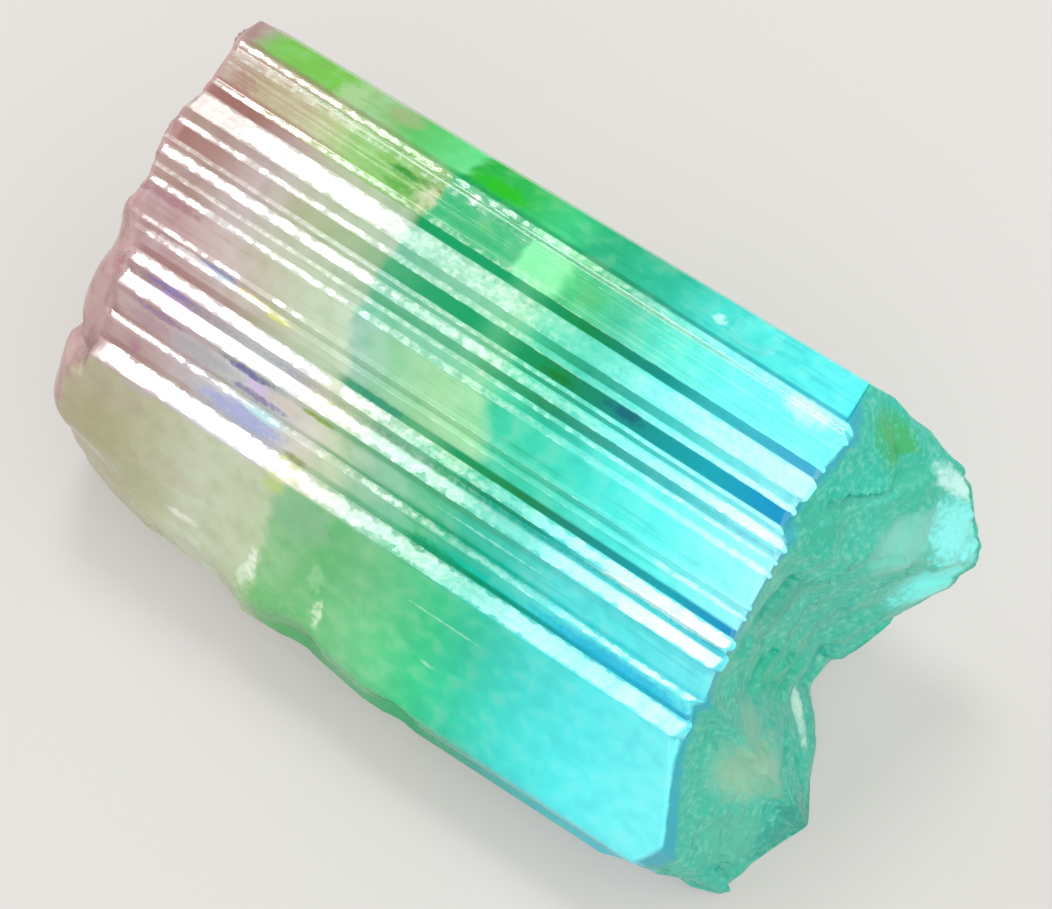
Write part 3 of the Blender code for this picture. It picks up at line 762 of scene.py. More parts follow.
@dataclass
class Crystal:
    """The whole crystal as one closed mesh, finer than the part's solid and on the same form."""

    side: SideFrame = field(default_factory=SideFrame)
    section: PrismSection = field(default_factory=PrismSection)
    stain_and_glint_map: StainAndGlintMap = field(default_factory=StainAndGlintMap)
    worn: WornEnd = field(default_factory=WornEnd)
    broken: BrokenEnd = field(default_factory=BrokenEnd)
    name: str = "striated_crystal"
    node: str = "tourmaline_crystal"
    slot: str = "tourmaline"
    stations: int = 146
    station_lean: float = 0.11
    relief_drift: float = 0.05
    drift_per_mm: float = 0.16
    drift_per_facet: float = 0.37
    drift_seed: float = 5.2
    drift_grid: tuple[float, float, int] = (-2.0, 28.0, 160)
    fade_from: float = 0.4
    fade: float = 0.3
    wander: float = 0.012
    wander_per_mm: float = 1.9
    wander_per_stria: float = 5.7
    wander_seed: float = 9.4
    wander_grid: tuple[float, float, float] = (-1.0, 24.0, 0.12)
    swell: tuple[float, float] = (0.55, 0.45)
    swells_per_mm: tuple[float, float] = (0.02, 0.06)
    rubbed: tuple = (
        (0.0, 1.7), (0.8, 1.45), (1.9, 1.1), (3.4, 0.78), (6.0, 0.7), (6.9, 0.42), (7.3, 0.22),
        (9.7, 0.3), (11.8, 0.0),
    )
    rubbed_across: float = 3.0
    rubbed_drops: tuple[float, float] = (2.5, 5.5)
    chips: tuple = (
        (9.3, 14.3, -6.0, 1.1, 0.2),
        (13.1, 14.5, -6.2, 0.9, 0.25),
        (17.2, 0.2, -1.6, 0.8, 0.22),
        (22.0, 14.4, -7.4, 1.9, 0.4),
    )
    fray: Profile = ((0, 0.08), (6.5, 0.09), (7.8, 0.2), (12, 0.2), (13.5, 0.13), (16, 0.08), (21, 0.06))
    whole_edge: float = 9.0
    tip_reach: float = 1.1
    tip_round: float = 0.16
    dark_edge: float = 0.07
    break_rings: int = 4
    end_shine: float = 0.5
    crest_relief: float = 0.0012
    fall_relief: float = 0.0018
    plain_relief: float = 0.0015
    plain_shine: dict = field(
        default_factory=lambda: {
            Surface.FALL: 0.82,
            Surface.FRONT: 0.85,
            Surface.ROUND: 0.7,
            Surface.HIDDEN: 0.7,
            Surface.BASE: 0.5,
            Surface.STRIP: 0.75,
        }
    )
    worn_detail: float = 0.25
    nose_length: float = 0.14
    nose_drop: float = 0.7
    bevel_length: float = 0.12
    bevel_depth: float = 0.08
    bevel_round: float = 0.96
    cap_spacing: dict = field(default_factory=lambda: {Ending.WORN: 0.17, Ending.BROKEN: 0.12})
    cap_margin: float = 0.012
    cap_jitter: float = 0.22
    seed: int = 21
    sharp_angle: float = math.radians(9.0)
    end_sharp_angle: float = math.radians(65.0)
    upper_from: float = -6.8
    no_stain_glint: float = 99.0
    weld: float = 1e-7

    def fine_outline(self) -> FineOutline:
        """Cut the main outline into fine stretches.

        Returns:
            For each fine point its two main points, its share between them and its small relief.
        """
        main = self.section.outline(0.5)
        draws = random.Random(self.seed)
        count = len(main.rough)
        rows: list[tuple] = []
        relief_of = {Surface.CREST: self.crest_relief, Surface.FALL: self.fall_relief}
        for index in range(count):
            after = (index + 1) % count
            kind = main.kinds[index]
            length = float(np.hypot(*(main.rough[after] - main.rough[index])))
            parts = max(1, round(length / SPACING[kind]))
            depth = relief_of.get(kind, self.plain_relief)
            owner = main.owners[index]
            for part in range(parts):
                share = part / parts
                lift = 0.0 if part == 0 or kind is Surface.BASE else -depth * draws.random()
                dark = self.darkness(owner, share) if kind is Surface.FALL else 0.0
                edge, tip = self.edge_and_tip(kind, share, length)
                if part == 0 and main.kinds[index - 1] is Surface.CREST:
                    edge = 0.0
                rows.append((index, after, share, kind, owner, edge, tip, dark, lift, draws.random()))
        return FineOutline(*(np.array(column) for column in zip(*rows)))

    def edge_and_tip(self, kind: Surface, share: float, width: float) -> tuple[float, float]:
        """How far a place is from its crest's edge, and how far the crest stands out at the break.

        Args:
            kind: the stretch's kind.
            share: the place's share of the way across the stretch.
            width: the stretch's width.

        Returns:
            The distance and the length of the rounded tip, in millimetres.
        """
        if kind is not Surface.CREST:
            return self.whole_edge, 0.0
        edge = min(share, 1.0 - share) * width
        radius = min(self.tip_round, width / 2.0)
        short = 1.0 - min(edge / radius, 1.0)
        return edge, self.tip_reach * radius * math.sqrt(1.0 - short * short)

    def darkness(self, owner: int, share: float) -> float:
        """How much painted shade a fall gets.

        Args:
            owner: the number of the stria that it belongs to.
            share: the place's share of its width.

        Returns:
            0 where bright, 1 where the shade fills it.
        """
        soft = self.dark_edge
        stretches = self.section.striae[owner].dark
        return max(
            float(ramp(share, start - soft, start + soft) * ramp(share, end + soft, end - soft))
            for start, end in stretches
        )

    def looks(self, fine: FineOutline, along: Array) -> tuple[Array, Array, Array]:
        """How much painted shade the falls get and how glossy the prism is, and how far inside its crest a
        place is.

        Args:
            fine: the fine outline.
            along: distances from the worn end, one row per ring.

        Returns:
            The painted shade of the falls, the shine and the depth inside the crest, one row per ring.
        """
        groove_shade = np.zeros_like(along)
        inside = fine.edge / np.interp(along, *zip(*self.fray))
        shine = np.empty_like(along)
        for column, (kind, owner) in enumerate(zip(fine.kinds, fine.owners)):
            if kind is Surface.CREST:
                shine[:, column] = np.interp(along[:, column], *zip(*self.section.striae[owner].shine))
                continue
            shine[:, column] = self.plain_shine[kind]
            if kind is Surface.FALL:
                shade = np.interp(along[:, column], *zip(*self.section.striae[owner].shade))
                groove_shade[:, column] = fine.dark[column] * shade
        return groove_shade, shine, inside

    def near_break(self, fine: FineOutline, ring_count: int) -> Array:
        """Mark the last rings of the hidden sides, which look like the break.

        Args:
            fine: the fine outline.
            ring_count: how many rings there are.

        Returns:
            1 where a ring looks like the break, one row per ring.
        """
        marked = np.zeros((ring_count, len(fine.kinds)))
        hidden = [kind in (Surface.HIDDEN, Surface.BASE, Surface.STRIP) for kind in fine.kinds]
        marked[-self.break_rings :, hidden] = 1.0
        return marked

    def between(self, values: Array, fine: FineOutline) -> Array:
        """Values of the main outline, one per main point, read at the fine points."""
        share = fine.share if values.ndim == 1 else fine.share[:, None]
        return values[fine.first] * (1.0 - share) + values[fine.second] * share

    def noise_table(self, grid: Array, per_mm: float, rows: Array, seed: float) -> Array:
        """Noise at the grid's distances along, one row for each main point's own place in it."""
        return np.array([[noise.noise(Vector((at * per_mm, row, seed))) for at in grid] for row in rows])

    def read(self, table: Array, grid: Array, rows: Array, along: Array) -> Array:
        """Read a noise table at distances along, with the table's row for each fine point."""
        columns = [np.interp(along[:, column], grid, table[row]) for column, row in enumerate(rows)]
        return np.stack(columns, axis=1)

    def rings(self, fine: FineOutline) -> tuple[Array, Array, Array]:
        """All rings of the prism from the worn end to the broken end.

        Args:
            fine: the fine outline.

        Returns:
            Along, section Y and section Z, one row per ring.
        """
        worn_line, broken_line = self.section.outline(0.0), self.section.outline(1.0)
        plain_worn = self.between(worn_line.plain, fine)
        plain_broken = self.between(broken_line.plain, fine)
        across, out = self.side.side(plain_worn[:, 0], plain_worn[:, 1])
        radius = self.worn.radius(across)
        worn_at = self.worn_at(fine, worn_line, across, out)
        broken_at = self.broken_at(fine, broken_line)
        along, inward_by = self.stops(worn_at, broken_at, radius)
        read_at = np.maximum(along, 0.0)
        to_break = broken_at - along

        share = read_at / self.section.length
        plain = plain_worn + (plain_broken - plain_worn) * share[..., None]
        fade_at = self.fade_from * radius
        fade = ramp(read_at, fade_at, fade_at + self.fade)
        fade = np.where(across < self.worn.edge_from, 1.0, fade)
        nose = 1.0 - self.nose_drop * (1.0 - ramp(to_break, 0.0, self.nose_length))
        reliefs = (worn_line.rough - worn_line.plain, broken_line.rough - broken_line.plain)
        relief = self.drifting(fine, sum(reliefs) / 2.0, read_at) * (fade * nose)[..., None]
        aside = self.aside(fine, len(worn_line.plain), read_at) * fade
        steady, swing = self.swell
        slow, quick = self.swells_per_mm
        swell = steady + swing * np.sin(math.tau * (fine.phase + read_at * (slow + quick * fine.phase)))
        normals = self.outward(plain_worn)
        tangents = np.stack([-normals[:, 1], normals[:, 0]], axis=1)
        points = plain + relief + normals * (fine.relief * swell * fade)[..., None]
        points = points + tangents * aside[..., None]
        y, z = self.rub_and_chip(along, points[..., 0], points[..., 1])
        centre = (plain_worn.min(axis=0) + plain_worn.max(axis=0)) / 2.0
        from_bevel = 1.0 - ramp(to_break, 0.0, self.bevel_length)
        inward_by = inward_by + self.bevel_depth * (1.0 - np.sqrt(1.0 - from_bevel**2 * self.bevel_round))
        away = np.hypot(centre[0] - y, centre[1] - z)
        y = y + (centre[0] - y) / away * inward_by
        z = z + (centre[1] - z) / away * inward_by
        z = np.maximum(z, -self.side.base_height)
        on_base = np.array([kind is Surface.BASE for kind in fine.kinds])
        z[:, on_base] = -self.side.base_height
        return along, y, z

    def worn_at(self, fine: FineOutline, line: Outline, across: Array, out: Array) -> Array:
        """Where the prism starts along, at the worn end.

        Args:
            fine: the fine outline.
            line: the worn end's outline.
            across: the fine points' places across.
            out: the fine points' places out.

        Returns:
            One distance per fine point.
        """
        main = self.worn.out(*self.side.side(line.plain[:, 0], line.plain[:, 1]))
        smooth = self.between(main, fine)
        return -(smooth + self.worn_detail * (self.worn.out(across, out) - smooth))

    def broken_at(self, fine: FineOutline, line: Outline) -> Array:
        """Where the prism ends along, at the break, with the ridges' rounded tips."""
        rough = self.between(line.rough, fine)
        return self.section.length + self.broken.out(*self.side.side(rough[:, 0], rough[:, 1])) + fine.tip

    def stops(self, worn_at: Array, broken_at: Array, radius: Array) -> tuple[Array, Array]:
        """Where the rings are, and how far the rounded worn edge draws them in.

        Args:
            worn_at: where the prism starts.
            broken_at: where it ends.
            radius: the worn edge's radius.

        Returns:
            Distances along and distances inward, one row per ring.
        """
        turned = 1.0 - np.arange(self.worn.edge_rings) / self.worn.edge_rings
        turns = np.radians(self.worn.edge_turn) * turned
        edge_long = radius * self.worn.edge_squash
        edge_along = worn_at + edge_long * (1.0 - np.sin(turns))[:, None]
        edge_in = radius * (1.0 - np.cos(turns))[:, None]
        spots = np.linspace(0.0, 1.0, self.stations + 1)
        shares = (spots - self.station_lean * np.sin(math.tau * spots))[:, None]
        start = worn_at + edge_long
        prism_along = start + (broken_at - start) * shares
        return np.vstack([edge_along, prism_along]), np.vstack([edge_in, np.zeros_like(prism_along)])

    def drifting(self, fine: FineOutline, relief: Array, read_at: Array) -> Array:
        """Height of the ridges, which drifts a little along the prism.

        Args:
            fine: the fine outline.
            relief: the main outline's relief.
            read_at: distances along, one row per ring.

        Returns:
            The relief, one row per ring.
        """
        grid = np.linspace(*self.drift_grid)
        rows = np.arange(len(relief)) * self.drift_per_facet
        table = self.noise_table(grid, self.drift_per_mm, rows, self.drift_seed)
        first = (1.0 + self.relief_drift * self.read(table, grid, fine.first, read_at)) * (1.0 - fine.share)
        second = (1.0 + self.relief_drift * self.read(table, grid, fine.second, read_at)) * fine.share
        return relief[fine.first] * first[..., None] + relief[fine.second] * second[..., None]

    def aside(self, fine: FineOutline, count: int, read_at: Array) -> Array:
        """How far the striae wander sideways.

        Args:
            fine: the fine outline.
            count: how many main points there are.
            read_at: distances along, one row per ring.

        Returns:
            Distances along the outline, one row per ring.
        """
        grid = np.arange(*self.wander_grid)
        rows = np.arange(count) // 2 * self.wander_per_stria
        table = self.noise_table(grid, self.wander_per_mm, rows, self.wander_seed)
        aside = self.read(table, grid, fine.first, read_at) * (1.0 - fine.share)
        aside += self.read(table, grid, fine.second, read_at) * fine.share
        striated = np.array([kind in (Surface.CREST, Surface.FALL) for kind in fine.kinds])
        return aside * (self.wander * striated)

    def outward(self, points: Array) -> Array:
        """Outward normals of a closed outline that runs clockwise seen from the worn end.

        Args:
            points: the outline's points.

        Returns:
            One unit normal per point.
        """
        chords = np.roll(points, -1, axis=0) - np.roll(points, 1, axis=0)
        normals = np.stack([chords[:, 1], -chords[:, 0]], axis=1)
        normals /= np.maximum(np.linalg.norm(normals, axis=1, keepdims=True), TINY)
        centre = (points.min(axis=0) + points.max(axis=0)) / 2.0
        facing = np.einsum("ij,ij->i", normals, points - centre)
        return normals * np.sign(np.where(facing == 0.0, 1.0, facing))[:, None]

    def rub_and_chip(self, along: Array, y: Array, z: Array) -> tuple[Array, Array]:
        """Rub in the lower front edge and take the chips out.

        Args:
            along: distances from the worn end.
            y: section Y.
            z: section Z.

        Returns:
            The changed section Y and Z.
        """
        across, out = self.side.side(y, z)
        stops, depths = zip(*self.rubbed)
        edge = self.section.front_edge[0]
        near_edge = ramp(across, edge - self.rubbed_across, edge)
        below = ramp(-out, *self.rubbed_drops)
        across = across - np.interp(along, stops, depths) * near_edge * below
        y, z = self.side.section(across, out)
        middle_y, middle_z = (y.min() + y.max()) / 2.0, (z.min() + z.max()) / 2.0
        reach = np.hypot(middle_y - y, middle_z - z)
        taken = np.zeros_like(y)
        for at_along, at_across, at_out, radius, depth in self.chips:
            squares = (along - at_along) ** 2 + (across - at_across) ** 2 + (out - at_out) ** 2
            away = np.sqrt(squares) / radius
            taken = taken + depth * np.clip(1.0 - away * away, 0.0, 1.0)
        return y + (middle_y - y) / reach * taken, z + (middle_z - z) / reach * taken

    def cap_points(self, rim: Array, ending: Ending) -> Array:
        """Jittered points inside a rim, on a staggered grid.

        Args:
            rim: the rim's section points.
            ending: which end it closes.

        Returns:
            The section points.
        """
        spacing = self.cap_spacing[ending]
        centre = (rim.min(axis=0) + rim.max(axis=0)) / 2.0
        inner = centre + (rim - centre) * (1.0 - self.cap_margin)
        low, high = inner.min(axis=0), inner.max(axis=0)
        draws = np.random.default_rng(self.seed)
        rows = np.arange(low[1], high[1], spacing * math.sqrt(3.0) / 2.0)
        columns = np.arange(low[0], high[0], spacing)
        grid_y, grid_z = np.meshgrid(columns, rows)
        grid_y = grid_y + (np.arange(len(rows)) % 2)[:, None] * spacing / 2.0
        points = np.stack([grid_y.ravel(), grid_z.ravel()], axis=1)
        points = points + draws.uniform(-self.cap_jitter, self.cap_jitter, points.shape) * spacing
        return points[self.inside(points, inner)]

    def inside(self, points: Array, outline: Array) -> Array:
        """Which points are inside a closed outline.

        Args:
            points: the points to test.
            outline: the closed outline.

        Returns:
            True for each point inside.
        """
        odd = np.zeros(len(points), bool)
        for before, here in zip(np.roll(outline, 1, axis=0), outline):
            spans = (here[1] > points[:, 1]) != (before[1] > points[:, 1])
            rise = before[1] - here[1] if before[1] != here[1] else 1.0
            crossing = here[0] + (points[:, 1] - here[1]) * (before[0] - here[0]) / rise
            odd ^= spans & (points[:, 0] < crossing)
        return odd

    def cap(self, rim: Array, ending: Ending) -> tuple[Array, Array, list]:
        """The rough face that closes one end.

        Args:
            rim: section points of the rim.
            ending: which end it closes.

        Returns:
            Section points inside the rim, their place along, and faces over rim and inner points.
        """
        points = self.cap_points(rim, ending)
        across, out = self.side.side(points[:, 0], points[:, 1])
        if ending is Ending.WORN:
            along = -self.worn.out(across, out)
        else:
            along = self.section.length + self.broken.out(across, out)
        flat = [Vector((float(y), float(z))) for y, z in np.vstack([rim, points])]
        loop = list(range(len(rim)))
        _, _, faces, originals, _, _ = delaunay_2d_cdt(flat, [], [loop], INSIDE_ONLY, self.weld)
        return points, along, [[originals[index][0] for index in face] for face in faces]

    def side_faces(self, ring_count: int, around: int) -> list:
        """Faces between the rings.

        Args:
            ring_count: how many rings there are.
            around: how many points a ring has.

        Returns:
            Four vertex numbers for each face.
        """
        start = np.arange(ring_count - 1)[:, None] * around
        here = np.arange(around)[None, :]
        after = (here + 1) % around
        corners = (start + here, start + after, start + around + after, start + around + here)
        return np.stack(corners, axis=-1).reshape(-1, 4).tolist()

    def side_marks(self, fine: FineOutline, along: Array, y: Array, z: Array) -> dict[str, Array]:
        """What the finish reads at the vertices of the sides.

        Args:
            fine: the fine outline.
            along: distances from the worn end, one row per ring.
            y: section Y.
            z: section Z.

        Returns:
            The marks by name, one value per vertex.
        """
        groove_shade, shine, inside = self.looks(fine, along)
        across, out = self.side.side(y.ravel(), z.ravel())
        upper = np.where(out > self.upper_from, across, self.no_stain_glint)
        colour, strength, away = self.stain_and_glint_map.read(along.ravel(), upper, self.stain_and_glint_map.stains_and_glints)
        return {
            "groove_shade": groove_shade.ravel(),
            "shine": shine.ravel(),
            "inside": inside.ravel(),
            "worn_face": np.zeros(along.size),
            "break_face": self.near_break(fine, len(along)).ravel(),
            "stain_glint_strength": strength,
            "stain_glint_away": away,
            "stain_glint_colour": colour,
        }

    def end_marks(self, points: Array, ending: Ending) -> dict[str, Array]:
        """What the finish reads at the vertices inside one end.

        Args:
            points: their section points.
            ending: which end it is.

        Returns:
            The marks by name, one value per vertex.
        """
        across, out = self.side.side(points[:, 0], points[:, 1])
        worn = 1.0 if ending is Ending.WORN else 0.0
        patches = () if ending is Ending.WORN else self.stain_and_glint_map.patches
        colour, strength, away = self.stain_and_glint_map.read(across, out, patches)
        return {
            "groove_shade": np.zeros(len(points)),
            "shine": np.full(len(points), self.end_shine),
            "inside": np.full(len(points), self.whole_edge),
            "worn_face": np.full(len(points), worn),
            "break_face": np.full(len(points), 1.0 - worn),
            "stain_glint_strength": strength,
            "stain_glint_away": away,
            "stain_glint_colour": colour,
        }

    def mark(self, data: bpy.types.Mesh, marks: list[dict[str, Array]]) -> None:
        """Store the marks on the mesh, numbers as floats and colours as vectors.

        Args:
            data: the mesh.
            marks: the marks of the sides and of each end, in the order of the vertices.
        """
        for label in marks[0]:
            values = np.concatenate([part[label] for part in marks]).astype(np.float32)
            kind, key = ("FLOAT", "value") if values.ndim == 1 else ("FLOAT_VECTOR", "vector")
            layer = data.attributes.new(label, kind, "POINT")
            layer.data.foreach_set(key, values.ravel())

    def build(self) -> bpy.types.Object:
        """Make the crystal's mesh object.

        Returns:
            The object, in the part's frame.
        """
        fine = self.fine_outline()
        along, y, z = self.rings(fine)
        ring_count, around = along.shape
        LOG.info("rings %d, points around %d", ring_count, around)
        spots = [self.side.part(along, y, z)]
        marks = [self.side_marks(fine, along, y, z)]
        faces = self.side_faces(ring_count, around)
        offset = along.size
        for ending, ring in ((Ending.WORN, 0), (Ending.BROKEN, ring_count - 1)):
            points, depth, cap_faces = self.cap(np.stack([y[ring], z[ring]], axis=1), ending)
            spots.append(self.side.part(depth, points[:, 0], points[:, 1]))
            marks.append(self.end_marks(points, ending))
            numbers = [*range(ring * around, (ring + 1) * around), *range(offset, offset + len(points))]
            faces += [[numbers[corner] for corner in face] for face in cap_faces]
            offset += len(points)
        low, high = (np.array(corner) for corner in CAD_BOX)
        data = bpy.data.meshes.new(self.name)
        data.from_pydata(np.clip(np.vstack(spots), low, high).tolist(), [], faces)
        self.mark(data, marks)
        data.update()
        data.shade_smooth()
        self.face_outward(data, self.worn.edge_rings * around, ring_count * around)
        piece = bpy.data.objects.new(self.name, data)
        bpy.context.scene.collection.objects.link(piece)
        return piece

    def face_outward(self, data: bpy.types.Mesh, first_side: int, first_end: int) -> None:
        """Turn all faces of the closed mesh outward, and keep its real edges sharp.

        Args:
            data: the mesh.
            first_side: the first vertex past the rounded worn edge.
            first_end: the first vertex of the two ends.
        """
        mesh = bmesh.new()
        mesh.from_mesh(data)
        bmesh.ops.recalc_face_normals(mesh, faces=mesh.faces)
        for edge in mesh.edges:
            low, high = sorted(vertex.index for vertex in edge.verts)
            on_side = first_side <= low and high < first_end
            limit = self.sharp_angle if on_side else self.end_sharp_angle
            edge.smooth = edge.calc_face_angle(0.0) < limit
        mesh.to_mesh(data)
        mesh.free()

    def dress(self, piece: bpy.types.Object, finish: "CrystalFinish") -> None:
        """Give the crystal its finish and tie it to the part.

        Args:
            piece: the crystal's object.
            finish: the finish to put on.
        """
        piece.data.materials.append(finish.material(self.side))
        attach(piece, "root")
        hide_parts(self.node)


@dataclass(frozen=True)
class Step:
    """A smooth step: where it starts, where it ends, and what it reaches."""

    start: float
    end: float
    reach: float = 1.0


@dataclass(frozen=True)
class Grain:
    """A noise: how fine it is, how many octaves it has, and how strong the finer ones are."""

    scale: float
    detail: float
    rough: float = 0.5


class Board:
    """A material's node tree, with short ways to add nodes to it."""

    def __init__(self, name: str) -> None:
        """Start an empty material.

        Args:
            name: the material's name.
        """
        self.material = bpy.data.materials.new(name)
        self.material.use_nodes = True
        self.tree = self.material.node_tree
        self.tree.nodes.clear()

    def add(self, kind: str, **settings: object) -> bpy.types.Node:
        """Add a node.

        Args:
            kind: the node's type name without its prefix.
            settings: properties to set on it.

        Returns:
            The node.
        """
        node = self.tree.nodes.new("ShaderNode" + kind)
        for key, value in settings.items():
            setattr(node, key, value)
        return node

    def put(self, value: object, socket: bpy.types.NodeSocket) -> None:
        """Link an output to a socket, or set the socket's own value.

        Args:
            value: the output, or the number, colour or vector.
            socket: the input socket.
        """
        if isinstance(value, bpy.types.NodeSocket):
            self.tree.links.new(value, socket)
        elif isinstance(value, tuple) and socket.type == "RGBA":
            socket.default_value = (*value, 1.0)
        else:
            socket.default_value = value

    def math(self, operation: str, *values: object, clamp: bool = False) -> bpy.types.NodeSocket:
        """Add a Math node.

        Args:
            operation: its operation.
            values: numbers or outputs for its inputs.
            clamp: whether to clamp the result.

        Returns:
            Its output.
        """
        node = self.add("Math", operation=operation, use_clamp=clamp)
        for value, socket in zip(values, node.inputs):
            self.put(value, socket)
        return node.outputs[0]

    def product(self, first: object, *others: object) -> object:
        """Multiply outputs or numbers.

        Args:
            first: the first of them.
            others: the others.

        Returns:
            The last node's output.
        """
        for other in others:
            first = self.math("MULTIPLY", first, other)
        return first

    def step(self, value: object, step: Step) -> bpy.types.NodeSocket:
        """Smooth step from 0 at its start to its reach at its end.

        Args:
            value: the value read.
            step: the step.

        Returns:
            Its output.
        """
        node = self.add("MapRange", interpolation_type="SMOOTHSTEP")
        self.put(value, node.inputs["Value"])
        for key, number in (("From Min", step.start), ("From Max", step.end), ("To Max", step.reach)):
            node.inputs[key].default_value = number
        return node.outputs["Result"]

    def mix(self, share: object, first: object, second: object) -> bpy.types.NodeSocket:
        """Mix two colours.

        Args:
            share: how much of the second one.
            first: the first colour.
            second: the second colour.

        Returns:
            The mixed colour.
        """
        node = self.add("Mix", data_type="RGBA", blend_type="MIX", clamp_factor=True)
        for value, index in ((share, MIX_SHARE), (first, MIX_FIRST), (second, MIX_SECOND)):
            self.put(value, node.inputs[index])
        return node.outputs[MIX_RESULT]

    def vector(self, x: object, y: object, z: object) -> bpy.types.NodeSocket:
        """Join three numbers into a vector.

        Args:
            x: the first number or output.
            y: the second.
            z: the third.

        Returns:
            Its output.
        """
        node = self.add("CombineXYZ")
        for value, socket in zip((x, y, z), node.inputs):
            self.put(value, socket)
        return node.outputs[0]

    def noise(self, place: object, grain: Grain) -> bpy.types.NodeSocket:
        """Noise from 0 to 1.

        Args:
            place: the vector it is read at.
            grain: how fine and rough it is.

        Returns:
            Its output.
        """
        node = self.add("TexNoise")
        self.put(place, node.inputs["Vector"])
        for key, value in (("Scale", grain.scale), ("Detail", grain.detail), ("Roughness", grain.rough)):
            node.inputs[key].default_value = value
        return node.outputs[0]

    def about_zero(self, place: object, grain: Grain) -> bpy.types.NodeSocket:
        """Noise from -0.5 to 0.5."""
        return self.math("SUBTRACT", self.noise(place, grain), 0.5)

    def zones(self, value: object, stops: Zones, span: float) -> bpy.types.NodeSocket:
        """A run of colour zones.

        Args:
            value: the distance read, in millimetres.
            stops: pairs of distance and display colour.
            span: the whole run's length.

        Returns:
            The colour.
        """
        node = self.add("ValToRGB")
        elements = node.color_ramp.elements
        while len(elements) > 1:
            elements.remove(elements[-1])
        for index, (at, colour) in enumerate(stops):
            element = elements[0] if index == 0 else elements.new(at / span)
            element.position = at / span
            element.color = (*linear(colour), 1.0)
        self.put(self.math("DIVIDE", value, span), node.inputs[0])
        return node.outputs[0]


@dataclass(frozen=True)
class Spot:
    """Outputs that every colour reads: the shaded place, its three parts, and the noises there."""

    place: object
    along: object
    across: object
    out: object
    ragged: object
    streak: object
    pits: object
    grain: object


